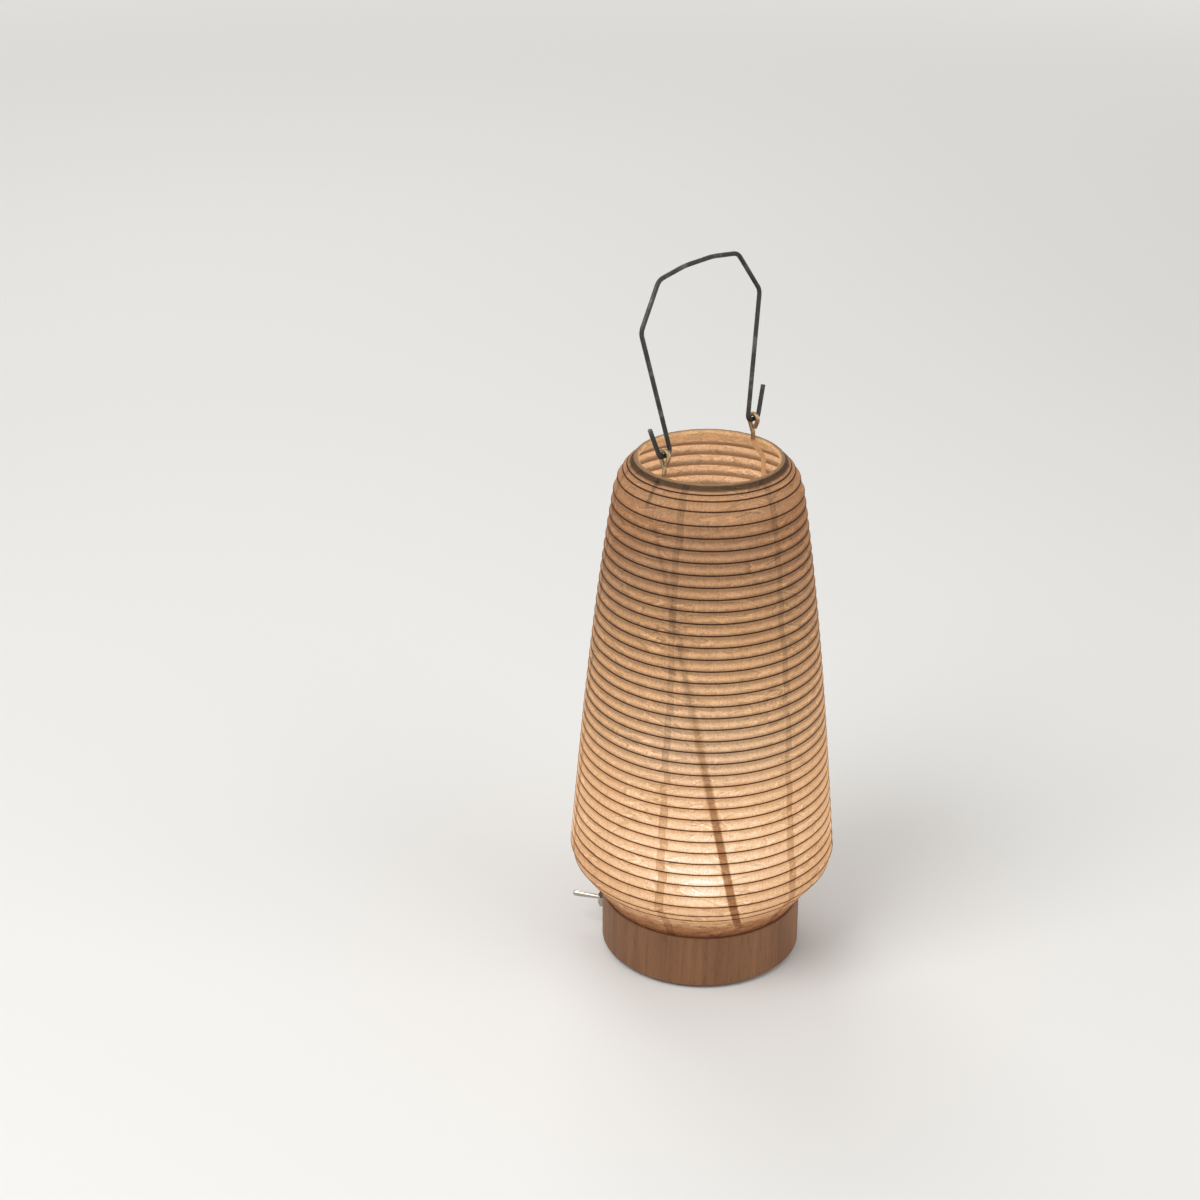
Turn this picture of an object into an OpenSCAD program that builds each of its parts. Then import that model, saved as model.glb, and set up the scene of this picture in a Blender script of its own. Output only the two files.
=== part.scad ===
// Washi paper lamp with a turned wood base, a ribbed paper shade and a wire bail handle.
// Origin on the axis, on the underside of the rubber feet. +Z is up, +X runs along the handle's hinge line.

/* [Base] */
// Diameter of the turned wood base
base_d = 92; // [86:0.5:104]
// Height of the wood's outer wall
base_h = 25.5; // [24.5:0.5:34]
// Thickness of the wood wall around the pocket
wall_t = 6.5; // [6:0.1:7]
// Thickness of the wood deck that carries the light
deck_t = 7; // [6:0.5:7.5]
// Height of the spigot that the shade's bottom ring sits around
spigot_h = 3; // [2:0.5:5]
// How far the spigot stands in from the outer wall
spigot_step = 3; // [2.4:0.1:4]
// Size of the eased edges of the wood
edge_ease = 0.8; // [0.3:0.1:1.5]
// Thickness of the bottom cover
cover_t = 2.5; // [2:0.1:3.5]
// Width of the ledge that the bottom cover rests against
cover_ledge = 2.5; // [2:0.1:3]
// Height of the rubber feet
foot_h = 1.5; // [1:0.1:4]
// Diameter of the rubber feet
foot_d = 10; // [6:0.5:12]

/* [Shade] */
// Widest radius, to the middle of the rib
shade_r = 60; // [57:0.05:66]
// Height of the widest place above the base's wall
shade_low = 26; // [22:0.5:30]
// Height of the long side above the widest place
side_h = 175.6; // [120:0.1:240]
// How far the side leans in over its height
side_lean = 14.6; // [11:0.01:18]
// How far the side curves in as well, most of it near the top
side_curve = 4.54; // [2:0.01:6]
// Radius of the shoulder
shoulder_r = 20.5; // [19:0.1:26]
// Radius of the rounded lower corner
corner_r = 8; // [4:0.1:10]
// Radius of the mouth ring, to the middle of its wire
mouth_r = 31.7; // [30:0.1:34]
// Spacing of the ribs along the side
rib_pitch = 5.32; // [4.5:0.01:8]
// Least width of the plain paper band above the bottom ring
plain_band = 15; // [10:0.5:20]
// Thickness of a rib, a split strip
rib_d = 0.8; // [0.6:0.1:1.2]
// Thickness of the paper
paper_t = 0.3; // [0.2:0.05:0.5]
// How far the paper sinks in between two ribs
paper_sag = 0.4; // [0.1:0.05:0.8]
// Diameter of the mouth ring's wire
mouth_wire_d = 1.8; // [1.2:0.1:2.4]
// Diameter of the bottom ring's wire
foot_wire_d = 1.6; // [1.2:0.1:2]

/* [Uprights] */
// Diameter of the two upright wires
upright_d = 2; // [1.6:0.1:2.4]
// Slope of an upright's shoulder, down from level
shoulder_slope = 50; // [42:1:58]
// Radius from the axis at which the shoulder ends and the leg starts
kink_r = 37.2; // [35:0.1:38]
// Radius of the circle on which the feet stand
foot_circle_r = 30; // [27:0.5:32]
// Angle that a leg turns round the axis between its eye and its foot
leg_turn = 57; // [40:1:70]
// Height of the eyes above the mouth ring
eye_rise = 10; // [8:0.1:14]
// Diameter of the round hole in an eye
eye_bore_d = 2.7; // [2.5:0.1:3.4]
// Length of an eye from its middle down to its neck
eye_neck = 6; // [5:0.1:7]
// Radius of the bends in the uprights
upright_bend = 2.6; // [2:0.1:4]

/* [Handle] */
// Diameter of the handle's wire
handle_d = 2; // [1.6:0.1:2.4]
// Height of the widest place above the hinge
handle_rise = 55.8; // [40:0.1:80]
// Half of the handle's widest width
handle_wide = 38.4; // [34:0.1:46]
// Height of the upper corners above the hinge
handle_top = 74.9; // [68:0.1:110]
// Half of the width between the upper corners
handle_grip = 25.3; // [18:0.1:32]
// Rise of the arched grip above its corners
grip_arch = 2.3; // [1.5:0.1:5]
// Half of the grip's flat top
grip_flat = 9; // [5:0.1:12]
// Radius of the two gentle bends in the grip
arch_bend = 40; // [20:1:50]
// Radius of the bend at the widest place
wide_bend = 5; // [3:0.1:9]
// Radius of the bend at the upper corners
grip_bend = 6; // [3:0.1:9]
// Radius of the bends in the hooks
hook_bend = 2.2; // [1.8:0.1:3]
// Length of a hook's tail
hook_tail = 14.5; // [8:0.1:20]
// Lean of a hook's tail, out from upright
tail_lean = 20; // [5:1:30]
// Lean of the handle at rest
handle_lean = 6; // [0:1:20]

/* [Light and battery] */
// Diameter of the light's circuit board
board_d = 30; // [26:0.5:34]
// Thickness of the circuit board
board_t = 1.6; // [1:0.1:2]
// Diameter of the frosted dome over the light
dome_d = 19; // [15:0.5:20]
// Wall of the frosted dome
dome_t = 1; // [0.8:0.1:1.4]
// Diameter of a battery cell
cell_d = 14.2; // [13.5:0.1:14.4]
// Length of a battery cell without its button
cell_len = 49.2; // [45:0.1:49.6]
// Distance between two cells
cell_pitch = 15.2; // [14.8:0.1:15.4]
// Wall of the battery holder
holder_t = 0.9; // [0.7:0.1:1]

/* [Switch] */
// Direction of the switch around the base
switch_angle = 127; // [120:1:135]
// Height of the switch above the wood's underside
switch_z = 15.6; // [14.6:0.1:17.5]
// Length of the lever from its ball
lever_len = 16.6; // [12:0.1:18]
// Throw of the lever to either side
lever_throw = 12.5; // [8:0.5:14]

/* [Hidden] */
$fn = 96;

// Named clearances
slide = 0.05;
fit = 0.2;
seat = 0.02;

// Bands that join a wire's runs to its bends
band_over = 1.02;
band_half = 0.09;
joint_gap = 0.03;

// Colours
wood_c = "#c79a6a";
paper_c = "#f3c894";
steel_c = "#3a3936";
wire_c = "#8c7c68";
brass_c = "#c2a04e";
black_c = "#26241f";
zinc_c = "#b9b6ad";

// Heights of the base
base_r = base_d / 2;
wood_z = foot_h;
step_z = wood_z + base_h;
deck_z = step_z + spigot_h;
ceiling_z = deck_z - deck_t;
spigot_r = base_r - spigot_step;
pocket_r = base_r - wall_t;
cover_r = pocket_r + cover_ledge;
ledge_z = wood_z + cover_t;

// Screws in the bottom cover
screw_d = 3;
screw_head_d = 5.6;
screw_head_h = 1.6;
screw_len = 10;
lug_r = 4.2;
lug_place = pocket_r - lug_r + 0.2;
foot_place = pocket_r - foot_d / 2 + 0.5;

// Rings of the shade
foot_wire_r = foot_wire_d / 2;
foot_ring_r = spigot_r + fit + paper_t + slide + foot_wire_r;
foot_ring_z = step_z + seat + paper_t + slide + foot_wire_r;
mouth_wire_r = mouth_wire_d / 2;
rib_r = rib_d / 2;
rib_ease = rib_d * 0.42;
skin = rib_r + slide + paper_t;

// Meridian of the shade, followed by the middle of each rib
side_z = step_z + shade_low;
function side_at(d) = shade_r - side_lean * d / side_h - side_curve * pow(d / side_h, 3);
low_tilt = atan(side_lean / side_h);
top_tilt = atan((side_lean + 3 * side_curve) / side_h);
corner_c = [shade_r - corner_r * cos(low_tilt), side_z - corner_r * sin(low_tilt)];
shoulder_c = [side_at(side_h) - shoulder_r * cos(top_tilt), side_z + side_h - shoulder_r * sin(top_tilt)];
mouth_turn = acos((mouth_r - shoulder_c.x) / shoulder_r);
mouth_z = shoulder_c.y + shoulder_r * sin(mouth_turn);

// Straight underside, a line from the bottom ring that just touches the corner
under_reach = [foot_ring_r, foot_ring_z] - corner_c;
under_d = norm(under_reach);
under_turn = atan2(under_reach.y, under_reach.x) + acos(corner_r / under_d);
under_len = sqrt(under_d * under_d - corner_r * corner_r);
corner_len = corner_r * (low_tilt - under_turn) * PI / 180;

// A place on the meridian with its outward direction, [r, z, nr, nz]
function on_arc(c, r, a) = [c.x + r * cos(a), c.y + r * sin(a), cos(a), sin(a)];
function on_side(d) =
    let (lean = atan((side_lean + 3 * side_curve * pow(d / side_h, 2)) / side_h))
    [side_at(d), side_z + d, cos(lean), sin(lean)];
function below_side(s) =
    s <= corner_len
        ? on_arc(corner_c, corner_r, low_tilt - s / corner_r * 180 / PI)
        : let (p = on_arc(corner_c, corner_r, under_turn), run = s - corner_len)
          [p[0] + run * sin(under_turn), p[1] - run * cos(under_turn), p[2], p[3]];

// Ribs: close together on the shoulder, evenly spaced down the side and the underside
shoulder_ribs = [for (share = [0.75, 0.59, 0.34]) on_arc(shoulder_c, shoulder_r,
                                                        top_tilt + share * (mouth_turn - top_tilt))];
side_ribs = [for (d = [side_h : -rib_pitch : 0]) on_side(d)];
last_d = side_h - rib_pitch * (len(side_ribs) - 1);
under_end = corner_len + under_len - plain_band;
under_ribs = [for (s = [rib_pitch - last_d : rib_pitch : under_end]) below_side(s)];
ribs = concat(shoulder_ribs, side_ribs, under_ribs);

// Paper: over each rib, and sunk in a little between two of them
mouth_seam = [mouth_r, mouth_z, cos(mouth_turn), sin(mouth_turn)];
foot_seam = [foot_ring_r, foot_ring_z, cos(under_turn), sin(under_turn)];
stations = concat([mouth_seam], ribs, [foot_seam]);
mouth_hem = 172;
mouth_lap = 22;
foot_hem = 130;
function hem_out(i) = i == 0 ? mouth_wire_r - rib_r : i == len(stations) - 1 ? foot_wire_r - rib_r : 0;
function on_rib(i, out) = let (p = stations[i], o = out + hem_out(i)) [p[0] + o * p[2], p[1] + o * p[3]];
function rib_gap(i) = norm([stations[i + 1][0] - stations[i][0], stations[i + 1][1] - stations[i][1]]);
function sag(i) = paper_sag * min(1, rib_gap(i) / rib_pitch);
function fold_at(i, out) = (on_rib(i, out - sag(i)) + on_rib(i + 1, out - sag(i))) / 2;
function turned(list) = [for (i = [len(list) - 1 : -1 : 0]) list[i]];

// Uprights: the mouth ring lies in the bend above each sloping shoulder, which follows it round
upright_r = upright_d / 2;
socket_wall = 1;
socket_r = upright_r + socket_wall;
socket_flange = 1;
socket_lip = 0.8;
foot_rise = 5;
foot_gap = 0.3;
neck_bend = 2.2;
ring_grip = mouth_wire_r + paper_t + slide * 2 + upright_r;
eye_x = mouth_r - ring_grip;
shoulder_z = mouth_z - ring_grip * tan((90 - shoulder_slope) / 2);
eye_z = mouth_z + eye_rise;
kink_z = shoulder_z - (kink_r - eye_x) * tan(shoulder_slope);
eye_bend = eye_bore_d / 2 + upright_r;
eye_half = asin(eye_bend / eye_neck);
foot_bend_z = deck_z + foot_rise;
foot_dir = -leg_turn;

// Handle
handle_r = handle_d / 2;
hook_gap = 0.4;
hook_side = upright_r + hook_gap;
leg_lean = atan2(handle_wide - eye_x, handle_rise);
inner_x = eye_x - hook_side - hook_bend * tan((90 + leg_lean) / 2);
outer_x = eye_x + hook_side + hook_bend * tan((90 - tail_lean) / 2);

// Light on the deck
board_z = deck_z + board_t;
chip = 5;
chip_h = 1.6;
pan_head_r = 1.9;
pan_head_h = 1.2;
pan_head_ease = 0.4;
cross_half = 1;
cross_w = 0.4;
board_edge = 0.3;
board_screw_r = 1;
board_screw_len = 4;
board_screw_x = board_d / 2 - pan_head_r - board_edge;

// Battery holder, screwed under the deck with its cells facing the cover
button_d = 5.5;
button_h = 1.3;
contact_t = 0.5;
spring_len = 3.2;
cell_room = cell_d + 0.7;
holder_in_x = 2 * cell_pitch + cell_room;
holder_in_y = cell_len + button_h + spring_len + 2 * contact_t;
holder_x = holder_in_x + 2 * holder_t;
holder_y = holder_in_y + 2 * holder_t;
holder_h = cell_d + 1.3;
holder_mid = -2.5;
floor_t = 1.2;
divider_t = 1.2;
divider_h = 2.6;
notch_wide = 9;
notch_tall = 8;
cell_z = ceiling_z - floor_t - fit - cell_d / 2;

// Switch, built with +X pointing out of the base
body_x = pocket_r + 0.8;
body_deep = 9;
body_wide = 13;
body_tall = 8;
lug_len = 4;
lug_pitch = 4.7;
bush_r = 3;
nut_af = 8;
nut_t = 2.2;
spot_x = base_r - 0.8;
bush_end = spot_x + nut_t + 0.6;
ball_r = 2;
pivot_x = base_r - 1.8;
pin_r = 0.5;
pin_half = bush_r - fit;
switch_h = wood_z + switch_z;

// Leads in the base
lead_r = 0.6;
lead_bend = 1.6;
lead_hole_r = 2.2;
lead_run = 2;
lug_tip = body_x - body_deep - lug_len;
lead_x = lug_tip - lead_run;
lead_apart = 1.4;
tab_y = 20;
tab_z = ceiling_z - holder_h + 4;
pad_x = dome_d / 2 + 2.9;
holder_end = holder_mid + holder_x / 2;

// Unit vector from a to b
function aim(a, b) = (b - a) / norm(b - a);

// Angle between the two runs that meet at point i
function bend_angle(p, i) = acos(min(1, max(-1, aim(p[i - 1], p[i]) * aim(p[i], p[i + 1]))));

// Straight length that the bend at point i takes from each of its runs
function bend_cut(p, r, i) = i == 0 || i == len(p) - 1 ? 0 : r[i] * tan(bend_angle(p, i) / 2);

// Rotation whose columns are x, y and z, at place o
function place(x, y, z, o) = [[x.x, y.x, z.x, o.x], [x.y, y.y, z.y, o.y], [x.z, y.z, z.z, o.z], [0, 0, 0, 1]];

// Any unit vector square to v
function square_to(v) = let (c = abs(v.z) < 0.9 ? cross(v, [0, 0, 1]) : cross(v, [1, 0, 0])) c / norm(c);

// Straight run of wire from a to b
module run(a, b, wr) {
    d = aim(a, b);
    side = square_to(d);
    multmatrix(place(side, cross(d, side), d, a)) cylinder(r = wr, h = norm(b - a), $fn = 32);
}

// Narrow band a fiftieth wider than the wire, which joins a run to a bend
module band(p, d, wr) {
    run(p - d * band_half, p + d * band_half, wr * band_over);
}

// Round wire of radius wr along the points p, with bend radius r[i] at point i
module wire(p, r, wr) {
    union() {
        for (i = [0 : len(p) - 2]) {
            d = aim(p[i], p[i + 1]);
            from = p[i] + d * (bend_cut(p, r, i) + (i == 0 ? 0 : joint_gap));
            to = p[i + 1] - d * (bend_cut(p, r, i + 1) + (i == len(p) - 2 ? 0 : joint_gap));
            run(from, to, wr);
        }
        for (i = [1 : len(p) - 2]) {
            a = aim(p[i - 1], p[i]);
            b = aim(p[i], p[i + 1]);
            up = cross(a, b) / norm(cross(a, b));
            from = p[i] - a * bend_cut(p, r, i);
            inward = cross(up, a);
            multmatrix(place(-inward, a, up, from + inward * r[i]))
                rotate_extrude(angle = bend_angle(p, i)) translate([r[i], 0]) circle(r = wr, $fn = 32);
            band(from, a, wr);
            band(p[i] + b * bend_cut(p, r, i), b, wr);
        }
    }
}

// Flat ring of round wire
module ring(r, z, wire_r) {
    translate([0, 0, z]) rotate_extrude() translate([r, 0]) circle(r = wire_r, $fn = 24);
}

// Copies its children at the four screws of the bottom cover
module at_cover_screws() {
    for (turn = [0 : 90 : 270])
        rotate(switch_angle + turn) translate([lug_place, 0]) children();
}

// Copies its children at the four feet
module at_feet() {
    for (turn = [45 : 90 : 315])
        rotate(switch_angle + turn) translate([foot_place, 0]) children();
}

// Copies its children at the two upright sockets
module at_sockets() {
    for (side = [0, 1])
        mirror([side, 0, 0]) rotate(foot_dir) translate([foot_circle_r, 0]) children();
}

// Copies its children at the two screws of the circuit board
module at_board_screws() {
    for (side = [90, 270])
        rotate(switch_angle + side) translate([board_screw_x, 0]) children();
}

// Sets its children on the switch's own line, at the switch's height
module at_switch() {
    rotate(switch_angle) translate([0, 0, switch_h]) children();
}

// Countersunk wood screw with its head down and its tip up
module cover_screw() {
    difference() {
        union() {
            cylinder(r1 = screw_head_d / 2, r2 = screw_d / 2, h = screw_head_h, $fn = 32);
            cylinder(r = screw_d / 2, h = screw_len - 2, $fn = 32);
            translate([0, 0, screw_len - 2]) cylinder(r1 = screw_d / 2, r2 = 0.4, h = 2, $fn = 32);
        }
        for (turn = [0, 90])
            rotate(turn) translate([-1.6, -0.3, -1]) cube([3.2, 0.6, 1.9]);
    }
}

// Turned base: outer wall, spigot, pocket, four screw lugs and every hole
module wood_base() {
    outline = [[0, wood_z], [base_r - edge_ease, wood_z], [base_r, wood_z + edge_ease],
               [base_r, step_z - edge_ease / 2], [base_r - edge_ease / 2, step_z], [spigot_r, step_z],
               [spigot_r, deck_z - edge_ease], [spigot_r - edge_ease, deck_z], [0, deck_z]];
    color(wood_c) difference() {
        rotate_extrude() polygon(outline);
        translate([0, 0, wood_z - 1]) cylinder(r = cover_r + fit, h = cover_t + 1);
        translate([0, 0, ledge_z - 1]) linear_extrude(ceiling_z - ledge_z + 1) difference() {
            circle(r = pocket_r);
            at_cover_screws() translate([0, -lug_r]) square([lug_r * 2, lug_r * 2]);
            at_cover_screws() circle(r = lug_r);
        }
        at_cover_screws() translate([0, 0, wood_z - 1])
            cylinder(r = screw_d / 2 + seat, h = screw_len + 1.5, $fn = 32);
        at_sockets() translate([0, 0, ceiling_z - 1])
            cylinder(r = socket_r + seat, h = deck_t + 2, $fn = 32);
        at_board_screws() translate([0, 0, deck_z - board_screw_len - 1])
            cylinder(r = board_screw_r + seat, h = board_screw_len + 2, $fn = 32);
        rotate(switch_angle) translate([lead_x, 0, ceiling_z - 1])
            cylinder(r = lead_hole_r, h = deck_t + 2, $fn = 32);
        at_switch() {
            translate([body_x - body_deep - 3, -body_wide / 2 - 0.5, -body_tall / 2 - 0.5])
                cube([body_deep + 3, body_wide + 1, body_tall + 1]);
            rotate([0, 90, 0]) cylinder(r = bush_r + seat, h = base_r + 1, $fn = 48);
            translate([spot_x, 0, 0]) rotate([0, 90, 0]) cylinder(r = nut_af / 2 + 1, h = 3, $fn = 48);
        }
    }
}

// Cover under the base, with countersunk screw holes
module bottom_cover() {
    color(black_c) difference() {
        translate([0, 0, wood_z]) cylinder(r = cover_r, h = cover_t);
        at_cover_screws() translate([0, 0, wood_z - 1])
            cylinder(r = screw_d / 2 + fit, h = cover_t + 2, $fn = 32);
        at_cover_screws() translate([0, 0, wood_z - 0.01])
            cylinder(r1 = screw_head_d / 2 + slide, r2 = screw_d / 2 + slide,
                     h = screw_head_h + 0.01, $fn = 32);
    }
}

// Four countersunk screws
module cover_screws() {
    color(zinc_c) at_cover_screws() translate([0, 0, wood_z]) cover_screw();
}

// Four rubber feet
module rubber_feet() {
    foot_r = foot_d / 2;
    foot_ease = 0.5;
    outline = [[0, 0], [foot_r - foot_ease, 0], [foot_r, foot_ease], [foot_r, foot_h], [0, foot_h]];
    color(black_c) at_feet() rotate_extrude() polygon(outline);
}

// Open tray for three cells side by side
module battery_holder() {
    color(black_c) rotate(switch_angle) translate([holder_mid, 0, 0]) difference() {
        union() {
            difference() {
                translate([-holder_x / 2, -holder_y / 2, ceiling_z - holder_h])
                    cube([holder_x, holder_y, holder_h]);
                translate([-holder_in_x / 2, -holder_in_y / 2, ceiling_z - holder_h - 1])
                    cube([holder_in_x, holder_in_y, holder_h + 1 - floor_t]);
            }
            for (side = [-1, 1])
                translate([side * cell_pitch / 2 - divider_t / 2, -holder_in_y / 2 - 0.01,
                           ceiling_z - floor_t - divider_h])
                    cube([divider_t, holder_in_y + 0.02, divider_h + 0.2]);
        }
        for (side = [-1, 1])
            translate([0, side * holder_y / 2, ceiling_z - holder_h])
                cube([notch_wide, 2.4 * holder_t + 3, notch_tall], center = true);
    }
}

// Three cells, laid in turn one way and the other
module battery_cells() {
    color("#5f7a5c") rotate(switch_angle) for (n = [-1, 0, 1])
        translate([holder_mid + n * cell_pitch, 0, cell_z]) rotate([n == 0 ? 90 : -90, 0, 0])
            translate([0, 0, -(cell_len + button_h - spring_len) / 2]) {
                cylinder(r = cell_d / 2, h = cell_len, $fn = 48);
                translate([0, 0, cell_len - 0.01]) cylinder(r = button_d / 2, h = button_h + 0.01, $fn = 32);
            }
}

// Contact plates at both ends and the springs in front of the cells' flat ends
module battery_contacts() {
    plate_h = 9;
    color(zinc_c) rotate(switch_angle) translate([holder_mid, 0, cell_z]) {
        for (end = [-1, 1]) {
            translate([end * cell_pitch / 2 - cell_pitch / 2 - plate_h / 2,
                       end * (holder_in_y - contact_t) / 2 - contact_t / 2, -plate_h / 2])
                cube([cell_pitch + plate_h, contact_t, plate_h]);
            translate([-end * cell_pitch - plate_h / 2, end * (holder_in_y - contact_t) / 2 - contact_t / 2,
                       -plate_h / 2])
                cube([plate_h, contact_t, plate_h]);
        }
        for (n = [-1, 0, 1])
            translate([n * cell_pitch, 0, 0]) rotate([n == 0 ? 90 : -90, 0, 0])
                translate([0, 0, -(holder_in_y / 2 - contact_t)])
                    cylinder(r1 = 3.8, r2 = 2.4, h = spring_len, $fn = 32);
    }
}

// Housing of the switch
module toggle_body() {
    color("#7d2f26") at_switch() translate([body_x - body_deep, -body_wide / 2, -body_tall / 2])
        cube([body_deep, body_wide, body_tall]);
}

// Three solder lugs, each with its hole
module toggle_terminals() {
    color(zinc_c) at_switch() for (n = [-1, 0, 1])
        translate([body_x - body_deep - lug_len, n * lug_pitch, 0]) difference() {
            translate([0, -0.4, -1]) cube([lug_len, 0.8, 2]);
            translate([1.2, 0, 0]) rotate([90, 0, 0]) cylinder(r = 0.5, h = 2, center = true, $fn = 24);
        }
}

// Bush with a round seat for the lever's ball, a bore for its pin and a mouth that flares with its throw
module toggle_bush() {
    lip_r = ball_r - 0.3;
    lip_x = sqrt(pow(ball_r + slide, 2) - lip_r * lip_r);
    color(zinc_c) at_switch() rotate([0, 90, 0]) difference() {
        translate([0, 0, body_x]) cylinder(r = bush_r, h = bush_end - body_x, $fn = 48);
        translate([0, 0, body_x - 1]) cylinder(r = ball_r + slide, h = pivot_x - body_x + 1, $fn = 48);
        translate([0, 0, pivot_x]) sphere(r = ball_r + slide, $fn = 48);
        translate([0, 0, pivot_x]) rotate([0, 90, 0])
            cylinder(r = pin_r + slide, h = 2 * bush_r + 1, center = true, $fn = 32);
        translate([0, 0, pivot_x + lip_x - 0.1])
            cylinder(r1 = lip_r, r2 = bush_r - 0.5, h = bush_end - pivot_x - lip_x + 0.2, $fn = 48);
    }
}

// Hexagon nut in its spot face
module toggle_nut() {
    color(zinc_c) at_switch() translate([spot_x, 0, 0]) rotate([0, 90, 0]) difference() {
        intersection() {
            cylinder(r = nut_af / sqrt(3), h = nut_t, $fn = 6);
            cylinder(r1 = nut_af / sqrt(3) + nut_t - 0.45, r2 = nut_af / sqrt(3) - 0.45, h = nut_t, $fn = 48);
        }
        translate([0, 0, -1]) cylinder(r = bush_r + seat, h = nut_t + 2, $fn = 48);
    }
}

// Lever with its ball and pin, a short tail behind and a bat-shaped grip, thrown to one side
module toggle_lever() {
    grip_r = 1.45;
    color(zinc_c) at_switch() translate([pivot_x, 0, 0]) rotate(-lever_throw) rotate([0, 90, 0]) union() {
        sphere(r = ball_r, $fn = 48);
        rotate([0, 90, 0]) cylinder(r = pin_r, h = 2 * pin_half, center = true, $fn = 32);
        rotate_extrude($fn = 48)
            polygon([[0, -3], [0.9, -3], [0.9, 0], [1.05, 0.5], [1.05, 4.6], [grip_r, lever_len - 3.2],
                     [grip_r, lever_len - 0.9], [grip_r - 0.35, lever_len - 0.25],
                     [0.6, lever_len], [0, lever_len]]);
    }
}

// Round board that carries the light
module led_board() {
    color("#e9e6da") difference() {
        translate([0, 0, deck_z]) cylinder(r = board_d / 2, h = board_t);
        at_board_screws() translate([0, 0, deck_z - 1])
            cylinder(r = board_screw_r + fit, h = board_t + 2, $fn = 32);
    }
}

// Two pan-head screws through the board
module led_screws() {
    color(zinc_c) at_board_screws() translate([0, 0, board_z]) difference() {
        union() {
            cylinder(r1 = pan_head_r, r2 = pan_head_r - pan_head_ease, h = pan_head_h, $fn = 32);
            translate([0, 0, -board_t - board_screw_len])
                cylinder(r = board_screw_r, h = board_t + board_screw_len + 0.01, $fn = 32);
        }
        for (turn = [0, 90])
            rotate(turn) translate([-cross_half, -cross_w / 2, pan_head_h / 2])
                cube([2 * cross_half, cross_w, pan_head_h]);
    }
}

// Light-emitting chip in its square package
module led_chip() {
    color("#f4efc9") translate([0, 0, board_z]) difference() {
        translate([-chip / 2, -chip / 2, 0]) cube([chip, chip, chip_h]);
        translate([0, 0, chip_h - 0.4]) cylinder(r = chip / 2 - 0.5, h = 1, $fn = 32);
    }
}

// Frosted dome with a foot flange, open underneath
module led_dome() {
    straight = 3;
    color("#f7f2e4") translate([0, 0, board_z]) difference() {
        union() {
            cylinder(r = dome_d / 2 + 1, h = 1);
            cylinder(r = dome_d / 2, h = straight);
            translate([0, 0, straight]) intersection() {
                sphere(r = dome_d / 2);
                cylinder(r = dome_d, h = dome_d);
            }
        }
        translate([0, 0, -1]) cylinder(r = dome_d / 2 - dome_t, h = straight + 1);
        translate([0, 0, straight]) intersection() {
            sphere(r = dome_d / 2 - dome_t);
            translate([0, 0, -0.01]) cylinder(r = dome_d, h = dome_d);
        }
    }
}

// Resistor lying on the board between the leads and the dome
module resistor() {
    color("#c9b487") rotate(switch_angle + 180) translate([board_d / 2 - 2.2, 0, board_z + 1.1 + seat])
        rotate([90, 0, 0]) union() {
            cylinder(r = 0.9, h = 4.4, center = true, $fn = 32);
            for (end = [-1, 1])
                translate([0, 0, end * 1.6]) cylinder(r = 1.1, h = 1.2, center = true, $fn = 32);
        }
}

// Lead from the battery holder to the switch
module red_lead() {
    color("#b0261c") rotate(switch_angle)
        wire([[holder_end, tab_y, tab_z], [lead_x, tab_y, tab_z], [lead_x, lug_pitch, tab_z],
              [lead_x, lug_pitch, switch_h], [lug_tip, lug_pitch, switch_h]],
             [0, lead_bend, lead_bend, lead_bend, 0], lead_r);
}

// Lead from the battery holder through the deck to the board
module black_lead() {
    color("#1c1b19") rotate(switch_angle)
        wire([[holder_end, -tab_y, tab_z], [lead_x, -tab_y, tab_z], [lead_x, -lead_apart, tab_z],
              [lead_x, -lead_apart, board_z + lead_r], [pad_x, -lead_apart, board_z + lead_r]],
             [0, lead_bend, lead_bend, lead_bend, 0], lead_r);
}

// Lead from the switch through the deck to the board
module switch_lead() {
    color("#b0261c") rotate(switch_angle)
        wire([[lug_tip, 0, switch_h], [lead_x, 0, switch_h], [lead_x, 0, board_z + lead_r],
              [pad_x, 0, board_z + lead_r]], [0, lead_bend, lead_bend, 0], lead_r);
}

// Two flanged brass sockets in the deck
module upright_sockets() {
    color(brass_c) at_sockets() difference() {
        union() {
            translate([0, 0, ceiling_z]) cylinder(r = socket_r, h = deck_t + socket_lip / 2, $fn = 32);
            translate([0, 0, deck_z]) cylinder(r = socket_r + socket_flange, h = socket_lip, $fn = 32);
        }
        translate([0, 0, ceiling_z - 1])
            cylinder(r = upright_r + slide, h = deck_t + socket_lip + 2, $fn = 32);
    }
}

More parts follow.
